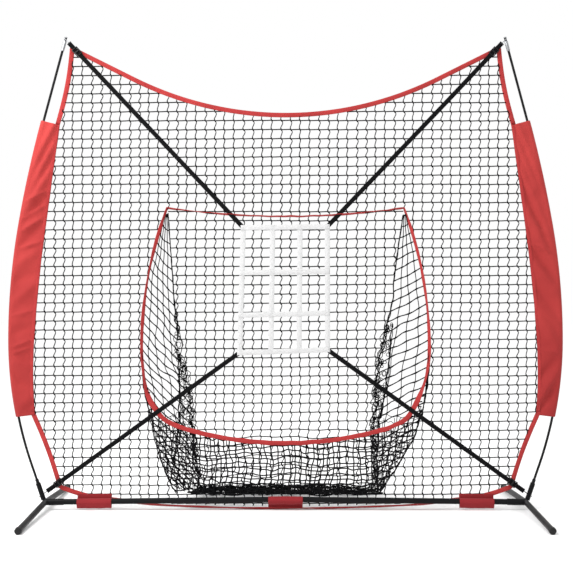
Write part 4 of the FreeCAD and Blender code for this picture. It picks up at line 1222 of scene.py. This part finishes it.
def buildSleeve(word, side):
    start, end = net["sleeve"]
    points = []
    for s in alongSleeve(sleeve["rows"]):
        depth = edgeInwards(s) + net["tape"] + 0.0016 * noiseAt(s * 12, side, 0)
        for w, y in sleeveSection(word, s, depth):
            fall = (sleeve["endDrop"] + sleeve["endSlope"] * w) * smoothStep(0.12, 0.0, s - start)
            points.append(poleVector(s - fall, side, w, netY + y))
    wide = len(points) // (sleeve["rows"] + 1)

    def placeOnCloth(row, column):
        return sleeve["uvWidth"] * column / (wide - 1), (end - start) * row / sleeve["rows"]

    piece = clothPiece(word + "Sleeve", "sleeve_cloth", word + "_sleeve", points, wide, placeOnCloth,
                       side < 0, sleeve["cloth"], -1.0)
    skin = newSkin()
    for fromEdge in sleeve["stitches"]:
        addStitches(skin, onSleeve(word, side, sleeve["rows"], fromEdge, 0.0002))
    asPiece(word + "SleeveStitches", skin, "sleeve_cloth", paint=paints["edge_tape"])
    # binding tape sewn down the inner edge, over the folds' ends
    skin, line = newSkin(), onSleeve(word, side, 115, sleeve["hemWidth"] / 2, 0.0011)
    addTape(skin, line, [-0.10 * side] * len(line), sleeve["hemWidth"], sleeve["hemTape"])
    asPiece(word + "SleeveHem", skin, "edge_tape")


# Poles: smooth rods, with the metal parts turned ring by ring

def turnedPiece(name, profile, start, along, sides=32):
    # a disc pulled out and scaled ring by ring, as on a lathe; profile is (radius, distance)
    bpy.ops.object.select_all(action="DESELECT")
    bpy.ops.mesh.primitive_circle_add(vertices=sides, radius=profile[0][0], fill_type="NGON",
                                      location=(0, 0, profile[0][1]))
    piece = bpy.context.object
    piece.name = piece.data.name = name
    bpy.ops.object.transform_apply(location=True)
    bpy.ops.object.mode_set(mode="EDIT")
    bpy.ops.mesh.select_all(action="SELECT")
    for (r0, z0), (r1, z1) in zip(profile, profile[1:]):
        bpy.ops.mesh.extrude_region_move(TRANSFORM_OT_translate={"value": (0, 0, z1 - z0)})
        bpy.ops.transform.resize(value=(r1 / r0, r1 / r0, 1), center_override=(0, 0, z1))
    bpy.ops.mesh.select_all(action="SELECT")
    bpy.ops.mesh.normals_make_consistent(inside=False)
    bpy.ops.object.mode_set(mode="OBJECT")
    bpy.ops.object.shade_smooth_by_angle(angle=math.radians(32))
    turn = along.to_track_quat("Z", "Y").to_matrix().to_4x4()
    piece.data.transform(Matrix.Translation(start) @ turn)
    return piece


def solidProfile(steps):
    return [(0.0004, 0.0)] + steps + [(0.0004, steps[-1][1])]


# start along the pole, how far before it and over what length the direction is taken, and the
# lathe profile in (radius, distance)
poleMetal = {
    "PoleCollar": ("ferrule_steel", "_lower_pole", pole["start"], pole["start"], 0.05,
                   [(0.0062, 0.0), (0.0068, 0.0006), (0.0068, 0.0640), (0.0066, 0.0646),
                    (0.0066, 0.0652), (0.0068, 0.0658), (0.0068, 0.0702), (0.0060, 0.0710)]),
    "MiddleFerrule": ("ferrule_steel", "_lower_pole", pole["split"] - pole["ferruleHalf"], 0.0, 0.09,
                      [(0.0056, 0.0), (0.0063, 0.0007), (0.0063, 0.0120), (0.0059, 0.0126),
                       (0.0059, 0.0144), (0.0063, 0.0150), (0.0063, 0.0895), (0.0057, 0.0900)]),
    "PoleTip": ("ferrule_aluminium", "_upper_pole",
                poleLength() - pole["tipTube"] - pole["tipNeck"] - pole["tipHead"], 0.0, 0.05,
                [(0.0060, 0.0), (0.0068, 0.0008), (0.0068, 0.0070), (0.0064, 0.0075), (0.0064, 0.0090),
                 (0.0068, 0.0095), (0.0068, 0.0380), (0.0062, 0.0396), (0.0040, 0.0402),
                 (0.0040, 0.0518), (0.0056, 0.0524), (0.0060, 0.0532), (0.0060, 0.0548),
                 (0.0052, 0.0558), (0.0034, 0.0562)])}


def buildPoles():
    rods = (("PoleRod", "_lower_pole", pole["start"], pole["split"] - 0.0001),
            ("UpperPoleRod", "_upper_pole", pole["split"] + 0.0002, poleLength() - pole["tipHead"]))
    for word, side in hands:
        for name, node, first, last in rods:
            skin = newSkin()
            addCord(skin, [poleVector(between(first, last, share), side) for share in shares(60)],
                    pole["rod"] / 2, sides=20)
            asPiece(word + name, skin, "fibreglass", [word + node])
        for name, (slot, node, start, before, span, steps) in poleMetal.items():
            low = start - before
            along = (poleVector(low + span, side) - poleVector(low, side)).normalized()
            piece = turnedPiece(word + name, solidProfile(steps), poleVector(start, side), along)
            dress(piece, slot, [word + node])


buildPoles()
for word, side in hands:
    buildSleeve(word, side)
print("poles and sleeves ready")


# Target: white webbing ladder, sewn with a box and cross at each crossing

threads = (0.0032, 0.00028)  # stitch and thread radius of the webbing's seams

target = {"width": 0.020, "thick": 0.0014, "front": 0.00675, "back": 0.00825,
          "uprights": ((-0.1642, -0.1782), (-0.0498, -0.0572), (0.0564, 0.0523), (0.1626, 0.1634)),
          "levels": ((1.0958, 1.0997), (0.9200, 0.9264), (0.7556, 0.7640), (0.6099, 0.6212))}


def uprightX(i, z):
    top, low = target["uprights"][i]
    return low + (top - low) * (z - 0.6055) / (1.0975 - 0.6055)


def levelZ(j, x):
    left, right = target["levels"][j]
    return left + (right - left) * (x + 0.171) / 0.334


def buildTarget():
    half, size = target["width"] / 2, (target["width"], target["thick"])
    skin, thread = newSkin(), newSkin()
    for i in range(4):
        top, low = levelZ(0, uprightX(i, 1.1)) + half, levelZ(3, uprightX(i, 0.6)) - half
        line = [Vector((uprightX(i, z), target["back"] + 0.0005 * noiseAt(i * 5.0, k * 0.4, 0), z))
                for k, z in enumerate([between(low, top, share) for share in shares(40)])]
        addBand(skin, line, [Vector((1, 0, 0))] * len(line), *size)
    for j in range(4):
        left, right = uprightX(0, levelZ(j, -0.17)) - half, uprightX(3, levelZ(j, 0.16)) + half
        line = [Vector((x, target["front"] - 0.0005 * noiseAt(j * 5.0, k * 0.4, 9), levelZ(j, x)))
                for k, x in enumerate([between(left, right, share) for share in shares(40)])]
        addBand(skin, line, [Vector((0, 0, 1))] * len(line), *size)
    reach = half - 0.0025
    for i in range(4):
        for j in range(4):
            z = levelZ(j, uprightX(i, target["levels"][j][0]))
            centre = Vector((uprightX(i, z), target["front"] - target["thick"] / 2 - 0.0002, z))
            box = [centre + Vector((a * reach, 0, b * reach))
                   for a, b in ((-1, -1), (1, -1), (1, 1), (-1, 1))]
            for a, b in ((0, 1), (1, 2), (2, 3), (3, 0), (0, 2), (1, 3)):
                addStitches(thread, [box[a], box[b]], *threads)
    asPiece("targetWebbing", skin, "target_webbing", ["target_webbing"])
    asPiece("targetStitches", thread, "target_webbing")


# Straps, their hooks and their buckles

strap = {"width": 0.0175, "thick": 0.0015, "y": 0.01005, "lap": 0.014, "wire": 0.0030,
         "hookGap": 0.0008, "leg": 0.016, "lowerHookAt": 0.027, "heldTop": 0.008, "heldLow": 0.019,
         "corner": (0.167, 0.857, 0.241), "straight": 0.25, "seams": (0.009, 0.016),
         "tail": (0.003, 0.006, 0.010, 0.014, 0.018)}


def strapLine(top):
    # corner, direction, length to the hook's eye, length to its centre, and its bight
    sign = 1 if top else -1
    x0, z0 = strap["corner"][0], strap["corner"][1] + sign * strap["corner"][2]
    s = poleLength() - pole["tipHead"] - pole["tipNeck"] / 2 if top else strap["lowerHookAt"]
    x1, z1 = polePoint(s)
    length = math.hypot(x1 - x0, z1 - z0)
    along = Vector(((x1 - x0) / length, 0, (z1 - z0) / length))
    lean = math.radians(pole["leans"][-1 if top else 0])
    held = strap["heldTop"] if top else strap["heldLow"]
    bight = held / 2 / math.cos(math.atan2(along.z, along.x) + lean) + strap["hookGap"] + strap["wire"] / 2
    return Vector((x0, strap["y"], z0)), along, length - bight - strap["leg"], length, bight


def alongStrap(side, top, distance, y=0.0, across=0.0):
    # a point by its distance along the strap, its depth and its place across it
    start, along = strapLine(top)[:2]
    p = start + along * distance + Vector((0, y, 0)) + Vector((-along.z, 0, along.x)) * across
    return Vector((side * p.x, p.y, p.z))


def targetCorner(side, top):
    i, j = 3 if side > 0 else 0, 0 if top else 3
    z = levelZ(j, side * strap["corner"][0])
    return Vector((uprightX(i, z), strap["y"], z))


def buildStrap(name, node, side, top):
    eyeAt, thick, skin = strapLine(top)[2], strap["thick"], newSkin()
    corner = alongStrap(side, top, 0.0)
    shift = targetCorner(side, top) - corner
    wide = alongStrap(side, top, 0.0, 0.0, 1.0) - corner
    line = []
    for d in [between(-strap["lap"] / 2, eyeAt - 0.001, share) for share in shares(90)]:
        ease = 1 - smoothStep(0.0, eyeAt - strap["straight"], d)
        line.append(alongStrap(side, top, d) + shift * ease)
    reach = strap["wire"] / 2 + 0.0003 + thick / 2
    line += [alongStrap(side, top, eyeAt + reach * math.sin(a), -reach * math.cos(a))
             for a in [math.pi * k / 12 for k in range(1, 12)]]
    line += [alongStrap(side, top, eyeAt - d, thick + 0.0002) for d in strap["tail"]]
    addBand(skin, line, [wide] * len(line), strap["width"], thick)
    for d in strap["seams"]:
        ends = [alongStrap(side, top, eyeAt - d, -thick / 2 - 0.0002, a * 0.0072) for a in (-1, 1)]
        addStitches(skin, ends, 0.0030, threads[1])
    asPiece(name + "Strap", skin, "strap_webbing", [node + "_strap"])


def buildHook(name, node, side, top):
    # bent wire: crossbar in the strap's eye, leg, and a bight round the pole
    eyeAt, centreAt, bight = strapLine(top)[2:]
    rise, run = netY - strap["y"], centreAt - eyeAt
    slope = math.atan2(rise, run) - math.asin(bight / math.hypot(run, rise))
    path = [(eyeAt, 0.0), (eyeAt + 0.004, 0.004 * math.tan(slope))]
    for share in shares(14):
        turn = between(slope - math.pi / 2, math.pi / 2, share)
        path.append((centreAt + bight * math.cos(turn), rise + bight * math.sin(turn)))
    path += [(centreAt - bight * 0.7, rise + bight), (centreAt - bight, rise + bight * 1.25)]
    skin, reach = newSkin(), strap["width"] / 2 + 0.001
    bar = [alongStrap(side, top, eyeAt, 0.0, a * reach) for a in (-1, -0.5, 0, 0.5, 1)]
    for line in ([alongStrap(side, top, d, y) for d, y in path], bar):
        addCord(skin, line, strap["wire"] / 2, sides=10)
    asPiece(name + "Hook", skin, "wire_steel" if top else "painted_steel", [node + "_hook"])


def buildBuckle(name, node):
    # the source's buckle with its edges rounded, as a moulding has
    piece = softenedCopy(node + "_buckle", name + "Buckle", 0.00002, math.radians(1), 0.0005)
    bpy.ops.object.shade_smooth_by_angle(angle=math.radians(40))
    dress(piece, "buckle_plastic", [node + "_buckle"], node + "_buckle")


buildTarget()
for word, side in hands:
    for level in ("Upper", "Lower"):
        names = word + level, word + "_" + level.lower()
        buildStrap(*names, side, level == "Upper")
        buildHook(*names, side, level == "Upper")
        buildBuckle(*names)
print("target and straps ready")


# Base: the tubes stay the source's; caps and buttons are rounded as moulded and turned parts are

base = {"hub": (0.932, 0.031), "reach": 0.540, "capEnd": 0.0025, "capD": 0.026, "capLength": 0.024,
        "capFlat": 0.0008, "tube": 0.022}


def buildCaps():
    hubX, hubZ = base["hub"]
    reach = base["reach"] - base["capEnd"]
    low = hubZ - reach * math.tan(math.asin((hubZ - base["capD"] / 2 + base["capFlat"]) / base["reach"]))
    outer, inner = base["capD"] / 2, base["tube"] / 2 + 0.0001
    deep = base["capLength"]
    profile = [(inner, deep - 0.0031), (inner, 0.0004), (inner + 0.0004, 0.0), (outer - 0.0008, 0.0),
               (outer, 0.0008), (outer, 0.0050), (outer - 0.0006, 0.0056), (outer - 0.0006, 0.0070),
               (outer, 0.0076), (outer, deep - 0.0050), (outer - 0.0007, deep - 0.0024),
               (outer - 0.0024, deep - 0.0008), (outer - 0.0050, deep - 0.0002), (0.0010, deep)]
    for word, side in hands:
        caps = []
        for i, end in enumerate((-1, 1)):
            tip = Vector((side * hubX, end * reach, low))
            outwards = (tip - Vector((side * hubX, 0, hubZ))).normalized()
            start = tip + outwards * (base["capEnd"] - deep + 0.0003)
            cap = turnedPiece(word + "Cap%d" % i, profile, start, outwards, 40)
            bpy.ops.object.mode_set(mode="EDIT")
            bpy.ops.mesh.select_all(action="SELECT")
            bpy.ops.mesh.bisect(plane_co=(0, 0, 0.0001), plane_no=(0, 0, -1), use_fill=True,
                                clear_outer=True)
            bpy.ops.object.mode_set(mode="OBJECT")
            caps.append(cap)
        selectOnly(*caps)
        bpy.ops.object.join()
        caps[0].name = word + "EndCaps"
        dress(caps[0], "cap_plastic", [word + "_end_caps"])


def buildButtons():
    for node in ("right_snap_button", "left_snap_button", "middle_snap_button"):
        low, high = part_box(node)
        downwards = node.startswith("middle")
        along = Vector((0, 0, -1)) if downwards else Vector((0, 1, 0))
        length = high.z - low.z if downwards else high.y - low.y
        pin = turnedPiece(node.replace("_", "-"), solidProfile(
            [(0.0031, 0.0), (0.0031, length - 0.0016), (0.0029, length - 0.0008), (0.0023, length - 0.0003),
             (0.0012, length - 0.00005)]), (low + high) / 2 - along * length / 2, along, 24)
        dress(pin, "zinc_steel", [node], node)


# axis of the press, the wall that each spring stands on, and the share of it left at full press
springs = {"right": ((0, 1, 0), (0, -0.00915, 0), 0.768), "left": ((0, 1, 0), (0, -0.00915, 0), 0.768),
           "middle": ((0, 0, 1), (0, 0, 0.04826), 0.763)}


def buildSprings():
    # the source's leaf springs with their sharp edges taken off
    for word, (axis, wall, keep) in springs.items():
        node = word + "_button_spring"
        strip = softenedCopy(node, word + "ButtonSpring", 0.00001, 0.01, 0.00009)
        dress(strip, "spring_steel", [node])
        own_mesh(strip)
        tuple(axis)
        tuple(wall)


buildCaps()
buildButtons()
buildSprings()
print("base ready")


# Cloth loops that hold the net's foot to the bar

tabs = {"side": 0.742, "length": 0.134, "drop": 0.026, "middleDrop": 0.020, "radius": 0.0144,
        "cloth": 0.0011, "barZ": 0.031, "arch": 0.010, "hub": 0.932, "step": 0.0022, "columns": 36}


def barZ(x):
    return tabs["barZ"] + tabs["arch"] * (1 - abs(x) / tabs["hub"])


def tabPath(drop, tail):
    # (y, z) about the bar's axis: sewn tail, down, up the front, over the bar and back to the tail
    radius = tabs["radius"]
    path = [(radius, tail), (radius, (tail + 0.002) / 2), (radius, 0.002), (radius - 0.0003, -0.006)]
    path += [(0.0085, -0.6 * drop - 0.002), (0.0038, -drop + 0.004), (0.0012, -drop + 0.0006)]
    path += [(-0.0014, -drop + 0.0006), (-0.0040, -drop + 0.004), (-0.0088, -0.6 * drop - 0.002)]
    path += [(-radius + 0.0002, -0.005)]
    for k in range(7):
        turn = math.pi - math.pi * 0.96 * k / 6
        path.append(((radius - 0.0016 * k / 6) * math.cos(turn), -0.0022 + radius * 0.97 * math.sin(turn)))
    return [Vector((0, y, z)) for y, z in path]


def buildTabs():
    for word, x, drop in (("right", tabs["side"], tabs["drop"]), ("left", -tabs["side"], tabs["drop"]),
                          ("middle", 0.0, tabs["middleDrop"])):
        edge = bottomEdge(x) - barZ(x)
        tail = edge + net["tape"] + 0.005 if x else edge + 0.003
        path = evenly(throughPoints(tabPath(drop, tail), 5), tabs["step"])
        points = []
        for px in [x + tabs["length"] * (share - 0.5) for share in shares(tabs["columns"])]:
            lift = 0.0016 * noiseAt(px * 30, 4.0, 1.0)
            for k, p in enumerate(path):
                low = smoothStep(-0.002, -0.018, p.z)
                points.append(Vector((px, p.y + 0.0022 * noiseAt(px * 38.0, k * 0.11, 2.0) * low,
                                      p.z + barZ(px) + low * lift)))
        count = len(path)

        def placeOnCloth(row, column):
            return tabs["length"] * row / tabs["columns"], tabs["step"] * column

        piece = clothPiece(word + "BarTab", "tab_cloth", word + "_bar_tab", points, count, placeOnCloth,
                           False, tabs["cloth"], 0.0)


buildTabs()
print("cloth loops ready")


# The source's own nodes that stay get their finish

for node in ("right_foot", "left_foot", "right_bar", "left_bar", "bar_spigot"):
    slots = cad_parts[node].data.materials
    slots.clear()
    slots.append(paints["painted_steel"])
